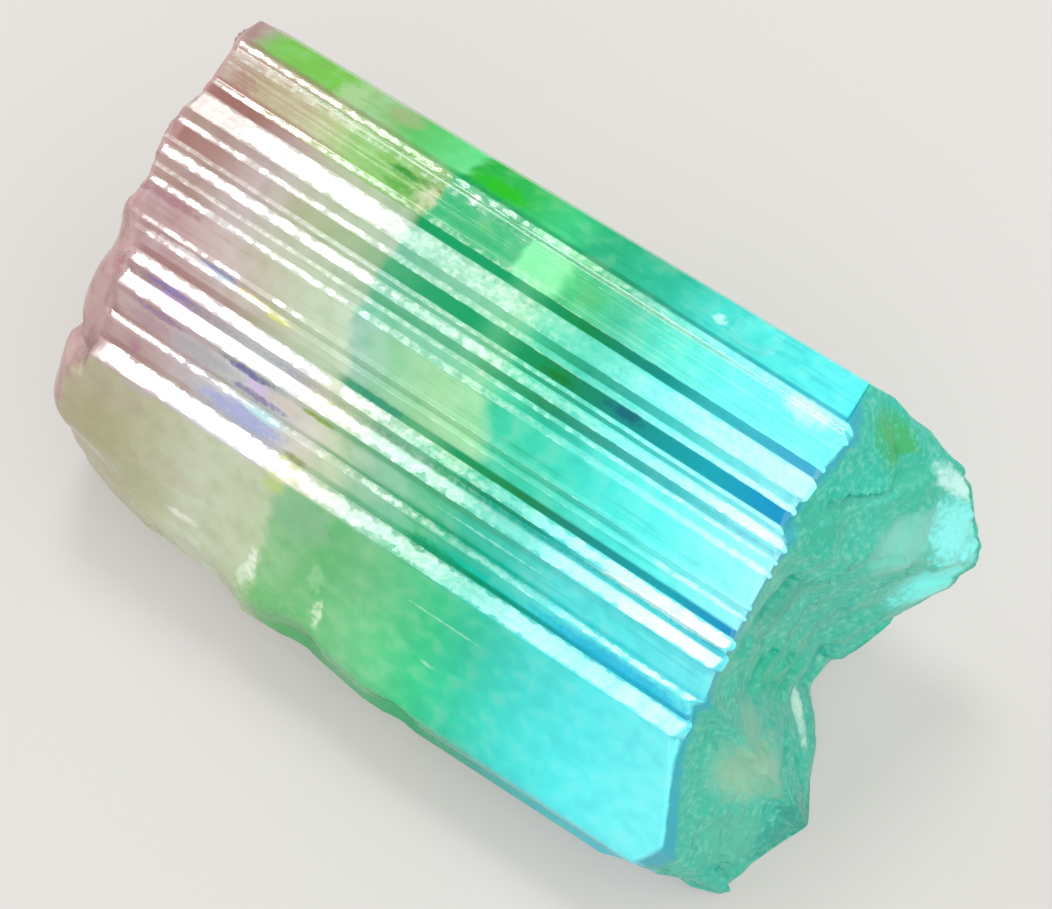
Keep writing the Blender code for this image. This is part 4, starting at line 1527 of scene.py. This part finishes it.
@dataclass(frozen=True)
class CrystalFinish:
    """Clear tourmaline: colour zones along the prism, painted shade, painted highlights and sparkle,
    striated gloss, and absorption inside.

    A border is a step across, past which the zones of its name take over.
    """

    name: str = "clear_tourmaline"
    transmission: float = 0.36
    ior: float = 1.63
    specular: float = 0.31
    absorption: Colour = (0.62, 0.93, 0.86)
    absorption_density: float = 40.0
    ragged: Grain = Grain(1.7, 1.0)
    streak: Grain = Grain(1.0, 1.0)
    streak_stretch: tuple[float, float, float] = (0.3, 6.5, 6.5)
    pits: Grain = Grain(5.0, 1.0, 0.6)
    grain: Grain = Grain(3.0, 2.0)
    growth: Grain = Grain(1.0, 1.0)
    growth_stretch: float = 3.0
    stain_glint_edge: Step = Step(2.4, 0.1)
    stain_glint_ragged: float = 1.6
    stain_glint_pitted: float = 3.5
    fray: Step = Step(0.2, 0.75, 0.7)
    fray_grain: float = -4.5
    fray_least: float = 0.3
    matt: float = 0.56
    streak_matt: float = 0.08
    least_matt: float = 0.01
    bump_distance: float = 0.00002
    bump_dull: float = 1.6
    bump_least: float = 0.03
    span: float = 24.0
    pale: Colour = (0.86, 0.96, 0.9)
    flat_zones: Zones = (
        (0.5, (194, 162, 166)), (1.5, (192, 160, 160)), (3.0, (200, 182, 180)), (4.5, (192, 186, 168)),
        (6.0, (190, 204, 176)), (7.3, (198, 216, 190)), (7.6, (152, 196, 178)), (9.2, (146, 206, 160)),
        (10.3, (164, 216, 166)), (11.8, (160, 226, 172)), (12.4, (60, 208, 168)),
        (14.3, (60, 214, 186)), (16.5, (76, 234, 226)), (18.0, (98, 248, 242)),
        (20.5, (150, 252, 252)),
    )
    ridge_zones: Zones = (
        (0.5, (190, 166, 156)), (1.5, (184, 160, 152)), (3.0, (200, 186, 186)), (4.5, (192, 196, 176)),
        (6.0, (194, 208, 182)), (7.3, (178, 202, 178)), (7.6, (124, 198, 168)), (9.2, (128, 202, 168)),
        (10.3, (132, 208, 172)), (11.6, (136, 216, 168)), (12.4, (70, 212, 168)),
        (14.0, (44, 208, 180)), (16.0, (84, 238, 228)), (18.0, (114, 250, 246)),
        (20.5, (154, 254, 254)),
    )
    upper_zones: Zones = (
        (0.5, (178, 156, 140)), (1.5, (174, 160, 124)), (3.0, (178, 174, 132)), (3.8, (174, 186, 130)),
        (4.8, (136, 192, 104)), (6.0, (112, 182, 76)), (7.5, (116, 168, 80)), (7.65, (18, 174, 106)),
        (10.4, (18, 178, 110)), (10.6, (120, 234, 162)), (11.8, (122, 232, 158)),
        (12.3, (36, 192, 110)), (14.0, (40, 190, 148)), (16.0, (76, 234, 214)), (18.0, (92, 250, 244)),
        (20.5, (106, 252, 254)),
    )
    # The darker colour along the prism: painted shade in the falls and along the lower front edge, and
    # random streaks and mottles.
    shade_and_mottle_zones: Zones = (
        (0.5, (148, 90, 86)), (3.4, (150, 110, 102)), (4.8, (132, 144, 80)), (7.2, (110, 156, 98)),
        (7.6, (0, 150, 88)), (11.0, (0, 154, 98)), (13.5, (0, 128, 68)), (15.5, (0, 132, 122)),
        (18.5, (0, 156, 172)), (20.5, (0, 140, 190)),
    )
    front_zones: Zones = (
        (0.5, (182, 172, 142)), (1.5, (182, 178, 142)), (3.0, (188, 190, 156)), (4.5, (201, 208, 182)),
        (6.0, (198, 205, 174)), (6.9, (190, 207, 168)), (7.2, (136, 196, 136)), (8.2, (120, 190, 126)),
        (9.0, (98, 188, 114)), (10.3, (112, 198, 136)), (11.3, (94, 204, 138)), (12.8, (34, 206, 142)),
        (14.2, (16, 204, 168)), (16.0, (54, 226, 220)), (18.0, (78, 242, 246)),
        (20.5, (112, 250, 254)),
    )
    lower_zones: Zones = (
        (0.5, (196, 168, 168)), (1.5, (194, 166, 163)), (3.0, (196, 182, 190)), (4.5, (210, 212, 216)),
        (6.0, (206, 202, 216)), (7.1, (226, 218, 208)), (8.0, (208, 220, 186)), (9.2, (154, 204, 172)),
        (10.3, (134, 208, 174)), (11.3, (78, 198, 144)), (12.6, (14, 198, 168)),
        (14.0, (28, 208, 192)), (16.0, (76, 232, 234)), (18.0, (76, 236, 240)),
        (20.0, (100, 240, 248)),
    )
    strip_zones: Zones = (
        (0.2, (166, 164, 140)), (0.8, (108, 198, 54)), (3.0, (112, 202, 64)), (3.6, (158, 210, 132)),
        (4.3, (152, 208, 142)), (5.0, (132, 192, 112)), (5.8, (86, 206, 102)), (7.6, (102, 230, 144)),
        (7.8, (20, 182, 58)), (9.5, (42, 192, 86)), (11.0, (66, 214, 138)), (12.2, (42, 186, 132)),
        (14.5, (48, 198, 166)), (16.0, (76, 232, 220)), (20.0, (100, 252, 252)),
    )
    zone_lean: Step = Step(5.4, 7.4, -0.65)
    zone_ragged: float = 0.5
    lower_border: Step = Step(7.3, 7.6)
    ridge_border: Step = Step(5.62, 5.5)
    upper_border: Step = Step(2.34, 2.28)
    front_border: Step = Step(10.66, 10.78)
    strip_border: Step = Step(0.82, 0.76)
    strip_dark: Step = Step(0.62, 0.7, 0.6)
    back_border: Step = Step(-2.9, -6.0)
    streaked: Step = Step(0.5, 0.8)
    streaked_across: Step = Step(10.78, 10.66, 0.22)
    mottled: Step = Step(-0.05, 0.25, 0.16)
    paled: Step = Step(0.05, -0.25, 0.08)
    # Painted shade along the lower front edge, where it turns away from the light.
    edge_shade_out: Step = Step(-5.0, -6.0)
    edge_shade_along: Step = Step(5.0, 9.0)
    edge_shade_across: Step = Step(12.5, 14.0, 0.6)
    worn_colour: Rgb = (190, 152, 152)
    worn_line: Rgb = (136, 84, 84)
    worn_lined: Step = Step(0.42, 0.72, 0.42)
    worn_band: Step = Step(0.1, -0.2)
    worn_reach: float = 0.22
    worn_wider: Step = Step(5.6, 7.0, 0.75)
    worn_narrower: Step = Step(10.4, 11.6, 0.7)
    worn_ragged: float = -0.5
    worn_share: float = 0.85
    break_low: Rgb = (48, 184, 158)
    break_high: Rgb = (20, 188, 164)
    break_speck: Rgb = (130, 208, 180)
    break_shade: Rgb = (0, 152, 122)
    break_ledge: Step = Step(4.15, 4.35)
    ledge_lean: float = -0.84
    speckled: Step = Step(0.5, 0.72, 0.5)
    shaded: Step = Step(0.48, 0.28, 0.4)
    # Painted shade of the deep blue band along the break's rim.
    rim_shade_colour: Rgb = (4, 166, 184)
    rim: Step = Step(0.25, -0.15)
    rim_grain: float = 0.5
    rim_width: float = 0.1
    rim_wider: Step = Step(10.9, 9.8, 0.3)
    # Painted sparkle: where the pale specks of painted highlight fall on the crests.
    sparkle_crest: Step = Step(8.0, 7.0)
    sparkle_glossy: Step = Step(0.15, 0.3)
    sparkle_dull: Step = Step(1.0, 0.6)
    sparkle_specks: Step = Step(0.4, 0.72)
    sparkle_along: Step = Step(14.5, 12.0, 0.26)
    sparkle_least: float = 0.1

    def material(self, side: SideFrame) -> bpy.types.Material:
        """Make the material.

        Args:
            side: the frame that the colours are laid out in.

        Returns:
            The material.
        """
        board = Board(self.name)
        spot = self.spot(board, side)
        labels = ("groove_shade", "shine", "inside", "worn_face", "break_face", "stain_glint_strength", "stain_glint_away")
        marks = {label: board.add("Attribute", attribute_name=label).outputs["Fac"] for label in labels}
        colour = self.side_colour(board, spot, marks["groove_shade"])
        colour = self.worn_colours(board, spot, colour, marks["worn_face"])
        colour = self.break_colours(board, spot, colour, marks["break_face"], side)
        colour = self.stained_and_glinted(board, spot, colour, marks)
        colour = self.painted_sparkle(board, spot, colour, marks)
        shader = board.add("BsdfPrincipled")
        board.put(colour, shader.inputs["Base Color"])
        shader.inputs["Transmission Weight"].default_value = self.transmission
        shader.inputs["IOR"].default_value = self.ior
        shader.inputs["Specular IOR Level"].default_value = self.specular
        self.gloss(board, spot, marks, shader)
        inside = board.add("VolumeAbsorption")
        inside.inputs["Color"].default_value = (*self.absorption, 1.0)
        inside.inputs["Density"].default_value = self.absorption_density
        output = board.add("OutputMaterial")
        board.put(shader.outputs[0], output.inputs["Surface"])
        board.put(inside.outputs[0], output.inputs["Volume"])
        return board.material

    def spot(self, board: Board, side: SideFrame) -> Spot:
        """The shaded place in millimetres, read from the object's own coordinates, and its noises.

        Args:
            board: the material's board.
            side: the frame.

        Returns:
            The place and what is read there.
        """
        coordinates = board.add("TexCoord")
        mapping = board.add("Mapping", vector_type="POINT")
        cos, sin = math.cos(side.turn), math.sin(side.turn)
        mapping.inputs["Scale"].default_value = (1.0 / MM, -1.0 / MM, 1.0 / MM)
        mapping.inputs["Rotation"].default_value = (side.turn, 0.0, 0.0)
        mapping.inputs["Location"].default_value = (
            -side.worn_end_at,
            cos * side.shift_y + sin * side.base_height,
            sin * side.shift_y - cos * side.base_height,
        )
        board.put(coordinates.outputs["Object"], mapping.inputs["Vector"])
        place = mapping.outputs[0]
        parts = board.add("SeparateXYZ")
        board.put(place, parts.inputs[0])
        stretched = board.add("VectorMath", operation="MULTIPLY")
        board.put(place, stretched.inputs[0])
        stretched.inputs[1].default_value = self.streak_stretch
        ragged = board.about_zero(place, self.ragged)
        streak = board.noise(stretched.outputs[0], self.streak)
        pits = board.noise(place, self.pits)
        return Spot(place, *parts.outputs, ragged, streak, pits, board.about_zero(place, self.grain))

    def side_colour(self, board: Board, spot: Spot, groove_shade: object) -> object:
        """Colour of the prism's sides, with painted shade in the falls and along the lower front edge.

        Args:
            board: the material's board.
            spot: the place.
            groove_shade: how much painted shade the fall gets.

        Returns:
            The colour.
        """
        lean = board.step(spot.across, self.zone_lean)
        ragged = board.math("MULTIPLY_ADD", spot.ragged, self.zone_ragged, lean)
        zone = board.math("ADD", spot.along, ragged)
        deep = board.zones(zone, self.shade_and_mottle_zones, self.span)
        front = board.zones(zone, self.front_zones, self.span)
        colour = board.zones(zone, self.flat_zones, self.span)
        for border, stops in (
            (self.lower_border, self.lower_zones),
            (self.ridge_border, self.ridge_zones),
            (self.upper_border, self.upper_zones),
        ):
            beyond = board.zones(zone, stops, self.span)
            colour = board.mix(board.step(spot.across, border), colour, beyond)
        colour = board.mix(board.step(spot.across, self.front_border), colour, front)
        strip = board.zones(zone, self.strip_zones, self.span)
        strip = board.mix(board.step(spot.across, self.strip_dark), strip, deep)
        colour = board.mix(board.step(spot.across, self.strip_border), colour, strip)
        colour = board.mix(board.step(spot.out, self.back_border), colour, front)
        streaks = board.step(spot.streak, self.streaked)
        dim = board.product(streaks, board.step(spot.across, self.streaked_across))
        mottle = board.step(spot.ragged, self.mottled)
        colour = board.mix(board.math("ADD", dim, mottle), colour, deep)
        colour = board.mix(board.step(spot.ragged, self.paled), colour, self.pale)
        # Painted shade: darker along the lower front edge past the middle, joined with the painted shade of
        # the falls.
        low = board.product(
            board.step(spot.out, self.edge_shade_out),
            board.step(spot.along, self.edge_shade_along),
            board.step(spot.across, self.edge_shade_across),
        )
        return board.mix(board.math("ADD", low, groove_shade, clamp=True), colour, deep)

    def worn_colours(self, board: Board, spot: Spot, colour: object, worn_face: object) -> object:
        """Colour of the worn end and of the band with growth lines next to it.

        Args:
            board: the material's board.
            spot: the place.
            colour: the sides' colour.
            worn_face: 1 on the worn end.

        Returns:
            The colour.
        """
        reach = board.math("ADD", board.step(spot.across, self.worn_wider), self.worn_reach)
        reach = board.math("SUBTRACT", reach, board.step(spot.across, self.worn_narrower))
        place = board.math("MULTIPLY_ADD", spot.ragged, self.worn_ragged, spot.along)
        band = board.step(board.math("SUBTRACT", place, reach), self.worn_band)
        worn = board.math("MAXIMUM", worn_face, band)
        squeezed = board.vector(board.product(spot.along, self.growth_stretch), spot.across, spot.out)
        lines = board.step(board.noise(squeezed, self.growth), self.worn_lined)
        tint = board.mix(lines, linear(self.worn_colour), linear(self.worn_line))
        return board.mix(board.product(worn, self.worn_share), colour, tint)

    def break_colours(
        self, board: Board, spot: Spot, colour: object, face: object, side: SideFrame
    ) -> object:
        """Colour of the broken end and the painted shade of the blue band round it.

        Args:
            board: the material's board.
            spot: the place.
            colour: the colour of the rest.
            face: 1 on the break.
            side: the frame, for the arch that the band follows.

        Returns:
            The colour.
        """
        from_crest = board.math("SUBTRACT", spot.across, side.crest_at)
        arch = board.product(from_crest, from_crest, -0.5 / side.crest_radius)
        depth = board.math("SUBTRACT", arch, spot.out)
        ledge = board.math("MULTIPLY_ADD", spot.out, self.ledge_lean, spot.across)
        low_or_high = board.step(ledge, self.break_ledge)
        broken = board.mix(low_or_high, linear(self.break_high), linear(self.break_low))
        broken = board.mix(board.step(spot.pits, self.speckled), broken, linear(self.break_speck))
        broken = board.mix(board.step(spot.pits, self.shaded), broken, linear(self.break_shade))
        # Painted shade: a deep blue band along the rim, on the bevel that turns down to the break, thin
        # along the front face's edge.
        width = board.math("ADD", board.step(spot.across, self.rim_wider), self.rim_width)
        past = board.math("SUBTRACT", depth, width)
        rim = board.step(board.math("MULTIPLY_ADD", spot.grain, self.rim_grain, past), self.rim)
        return board.mix(face, colour, board.mix(rim, broken, linear(self.rim_shade_colour)))

    def stained_and_glinted(self, board: Board, spot: Spot, colour: object, marks: dict) -> object:
        """Marks with ragged edges over the colour: own tints, painted highlights and painted iridescent
        sheen.

        Args:
            board: the material's board.
            spot: the place.
            colour: the colour without them.
            marks: the mesh's marks.

        Returns:
            The colour.
        """
        away = board.math("MULTIPLY_ADD", spot.ragged, self.stain_glint_ragged, marks["stain_glint_away"])
        pitted = board.math("SUBTRACT", spot.pits, 0.5)
        away = board.math("MULTIPLY_ADD", pitted, self.stain_glint_pitted, away)
        share = board.product(board.step(away, self.stain_glint_edge), marks["stain_glint_strength"])
        stain_glint = board.add("Attribute", attribute_name="stain_glint_colour").outputs["Color"]
        return board.mix(share, colour, stain_glint)

    def painted_sparkle(self, board: Board, spot: Spot, colour: object, marks: dict) -> object:
        """Painted sparkle: pale specks of painted highlight on the less glossy parts of the crests.

        Args:
            board: the material's board.
            spot: the place.
            colour: the colour without them.
            marks: the mesh's marks.

        Returns:
            The colour.
        """
        strength = board.math("ADD", board.step(spot.along, self.sparkle_along), self.sparkle_least)
        specks = board.product(
            board.step(spot.pits, self.sparkle_specks),
            strength,
            board.step(marks["shine"], self.sparkle_dull),
            board.step(marks["inside"], self.sparkle_crest),
            board.step(marks["shine"], self.sparkle_glossy),
        )
        return board.mix(specks, colour, self.pale)

    def gloss(self, board: Board, spot: Spot, marks: dict, shader: bpy.types.Node) -> None:
        """Set how glossy the crystal is, with frayed crests, and the grain where it is dull.

        Args:
            board: the material's board.
            spot: the place.
            marks: the mesh's marks.
            shader: the shader to set it on.
        """
        frayed = board.math("MULTIPLY_ADD", spot.grain, self.fray_grain, marks["inside"])
        kept = board.math("ADD", board.step(frayed, self.fray), self.fray_least)
        dull = board.math("SUBTRACT", 1.0, board.product(marks["shine"], kept))
        least = board.math("MULTIPLY_ADD", spot.streak, self.streak_matt, self.least_matt)
        board.put(board.math("MULTIPLY_ADD", dull, self.matt, least), shader.inputs["Roughness"])
        bump = board.add("Bump")
        bump.inputs["Distance"].default_value = self.bump_distance
        strength = board.math("MULTIPLY_ADD", board.product(dull, dull), self.bump_dull, self.bump_least)
        board.put(strength, bump.inputs["Strength"])
        board.put(spot.pits, bump.inputs["Height"])
        board.put(bump.outputs[0], shader.inputs["Normal"])


@dataclass(frozen=True)
class FloorFinish:
    """Plain pale floor."""

    name: str = "pale_floor"
    colour: Colour = (0.29, 0.281, 0.268)
    glow: Colour = (0.3, 0.29, 0.278)
    roughness: float = 0.7
    cloud: Grain = Grain(30.0, 3.0)
    cloud_shade: float = 0.97

    def material(self) -> bpy.types.Material:
        """Make the material.

        Returns:
            The material.
        """
        board = Board(self.name)
        coordinates = board.add("TexCoord")
        cloud = board.noise(coordinates.outputs["Object"], self.cloud)
        shader = board.add("BsdfPrincipled")
        shaded = tuple(channel * self.cloud_shade for channel in self.colour)
        shade = board.mix(cloud, self.colour, shaded)
        board.put(shade, shader.inputs["Base Color"])
        shader.inputs["Roughness"].default_value = self.roughness
        shader.inputs["Emission Color"].default_value = (*self.glow, 1.0)
        shader.inputs["Emission Strength"].default_value = 1.0
        board.material.cycles.emission_sampling = "NONE"
        output = board.add("OutputMaterial")
        board.put(shader.outputs[0], output.inputs["Surface"])
        return board.material


@dataclass
class Studio:
    """Pale floor, bright surroundings, one soft light and the camera."""

    target: tuple[float, float, float] = (-0.204, -0.1976, 6.472)
    azimuth: float = math.radians(36.1)
    elevation: float = math.radians(63.0)
    distance: float = 148.0
    pixels_per_mm: float = 34.91
    sensor: float = 36.0
    target_pixels: tuple[float, float] = (-38.0, 7.5)
    clip: tuple[float, float] = (10.0, 10000.0)
    floor_size: float = 2400.0
    floor_gap: float = 0.02
    surround: Colour = (1.95, 1.93, 1.92)
    surround_dim: Colour = (0.28, 0.29, 0.3)
    surround_lean: float = -0.4
    dim_between: tuple[float, float, float, float] = (0.12, 0.3, 0.45, 0.6)
    light_direction: tuple[float, float, float] = (-0.285, 0.25, 0.925)
    light_distance: float = 300.0
    light_size: tuple[float, float] = (84.0, 76.0)
    light_raise: float = 22.0
    light_radiance: float = 19.5

    def back(self) -> Vector:
        """Direction from the object to the camera."""
        flat = Vector((math.sin(self.azimuth), -math.cos(self.azimuth), 0.0)) * math.cos(self.elevation)
        return flat + Vector((0.0, 0.0, math.sin(self.elevation)))

    def camera(self) -> None:
        """Make the camera at the photo's angle."""
        data = bpy.data.cameras.new("camera")
        focal_pixels = self.pixels_per_mm * self.distance
        data.sensor_width = self.sensor
        data.lens = self.sensor * focal_pixels / PHOTO_WIDTH
        data.shift_x = -self.target_pixels[0] / PHOTO_WIDTH
        data.shift_y = self.target_pixels[1] / PHOTO_WIDTH
        data.clip_start, data.clip_end = (distance * MM for distance in self.clip)
        camera = bpy.data.objects.new("camera", data)
        camera.location = (Vector(self.target) + self.back() * self.distance) * MM
        camera.rotation_mode = "QUATERNION"
        camera.rotation_quaternion = (-self.back()).to_track_quat("-Z", "Y")
        bpy.context.scene.collection.objects.link(camera)
        bpy.context.scene.camera = camera

    def floor(self) -> None:
        """Make the floor just under the crystal."""
        half = self.floor_size / 2.0 * MM
        low = -self.floor_gap * MM
        data = bpy.data.meshes.new("floor")
        corners = [(-half, -half, low), (half, -half, low), (half, half, low), (-half, half, low)]
        data.from_pydata(corners, [], [(0, 1, 2, 3)])
        data.materials.append(FloorFinish().material())
        floor = bpy.data.objects.new("floor", data)
        bpy.context.scene.collection.objects.link(floor)

    def light(self) -> None:
        """Make the soft light that the ridges mirror."""
        data = bpy.data.lights.new("soft_light", "AREA")
        data.shape = "RECTANGLE"
        data.size, data.size_y = (size * MM for size in self.light_size)
        area = data.size * data.size_y
        data.energy = self.light_radiance * math.pi * area
        light = bpy.data.objects.new("soft_light", data)
        direction = Vector(self.light_direction).normalized()
        light.rotation_mode = "QUATERNION"
        side = Vector((1.0, 0.0, 0.0))
        up = direction.cross(side).normalized()
        side = up.cross(direction).normalized()
        raised = direction * self.light_distance + up * self.light_raise
        light.location = (Vector(self.target) + raised) * MM
        light.rotation_quaternion = Matrix((side, up, direction)).transposed().to_quaternion()
        bpy.context.scene.collection.objects.link(light)

    def surroundings(self) -> None:
        """Make the even bright surroundings, and show colours as they are."""
        scene = bpy.context.scene
        world = bpy.data.worlds.new("surroundings")
        world.use_nodes = True
        self.dim_band(world.node_tree)
        scene.world = world
        scene.view_settings.view_transform = "Standard"
        scene.view_settings.look = "None"
        scene.cycles.use_denoising = True
        scene.cycles.use_light_tree = False
        scene.cycles.max_bounces = 5
        scene.cycles.transmission_bounces = 4
        scene.cycles.diffuse_bounces = 2
        scene.cycles.glossy_bounces = 2
        scene.cycles.sample_clamp_indirect = 4.0
        scene.cycles.blur_glossy = 0.3

    def dim_band(self, tree: bpy.types.NodeTree) -> None:
        """Dim the surroundings in the band that the prism's sides mirror towards the camera.

        Args:
            tree: the surroundings' node tree.
        """
        background = tree.nodes["Background"]
        coordinates = tree.nodes.new("ShaderNodeTexCoord")
        parts = tree.nodes.new("ShaderNodeSeparateXYZ")
        tree.links.new(coordinates.outputs["Generated"], parts.inputs[0])
        ramp_node = tree.nodes.new("ShaderNodeValToRGB")
        ramp_node.color_ramp.interpolation = "EASE"
        colours = (self.surround, self.surround_dim, self.surround_dim, self.surround)
        elements = ramp_node.color_ramp.elements
        for index, (at, colour) in enumerate(zip(self.dim_between, colours)):
            element = elements[index] if index < 2 else elements.new(at)
            element.position = at
            element.color = (*colour, 1.0)
        shifted = tree.nodes.new("ShaderNodeMath")
        shifted.operation = "MULTIPLY_ADD"
        shifted.inputs[1].default_value = 0.5
        shifted.inputs[2].default_value = 0.5
        tree.links.new(parts.outputs[0], shifted.inputs[0])
        tree.links.new(shifted.outputs[0], ramp_node.inputs[0])
        tree.links.new(ramp_node.outputs[0], background.inputs["Color"])
        leaning = tree.nodes.new("ShaderNodeMath")
        leaning.operation = "MULTIPLY_ADD"
        leaning.inputs[1].default_value = self.surround_lean
        leaning.inputs[2].default_value = 1.0
        tree.links.new(parts.outputs[1], leaning.inputs[0])
        tree.links.new(leaning.outputs[0], background.inputs["Strength"])

    def build(self) -> None:
        """Make the whole studio."""
        self.surroundings()
        self.floor()
        self.light()
        self.camera()


def write_sizes() -> None:
    """Bring the view layer up to date."""
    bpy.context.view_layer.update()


def main() -> None:
    """Build the studio and the crystal in order."""
    logging.basicConfig(level=logging.INFO, format="%(name)s: %(message)s")
    Studio().build()
    LOG.info("studio made")
    crystal = Crystal()
    piece = crystal.build()
    crystal.dress(piece, CrystalFinish())
    LOG.info("crystal made: %d vertices, %d faces", len(piece.data.vertices), len(piece.data.polygons))
    write_sizes()


if __name__ == "__main__":
    main()
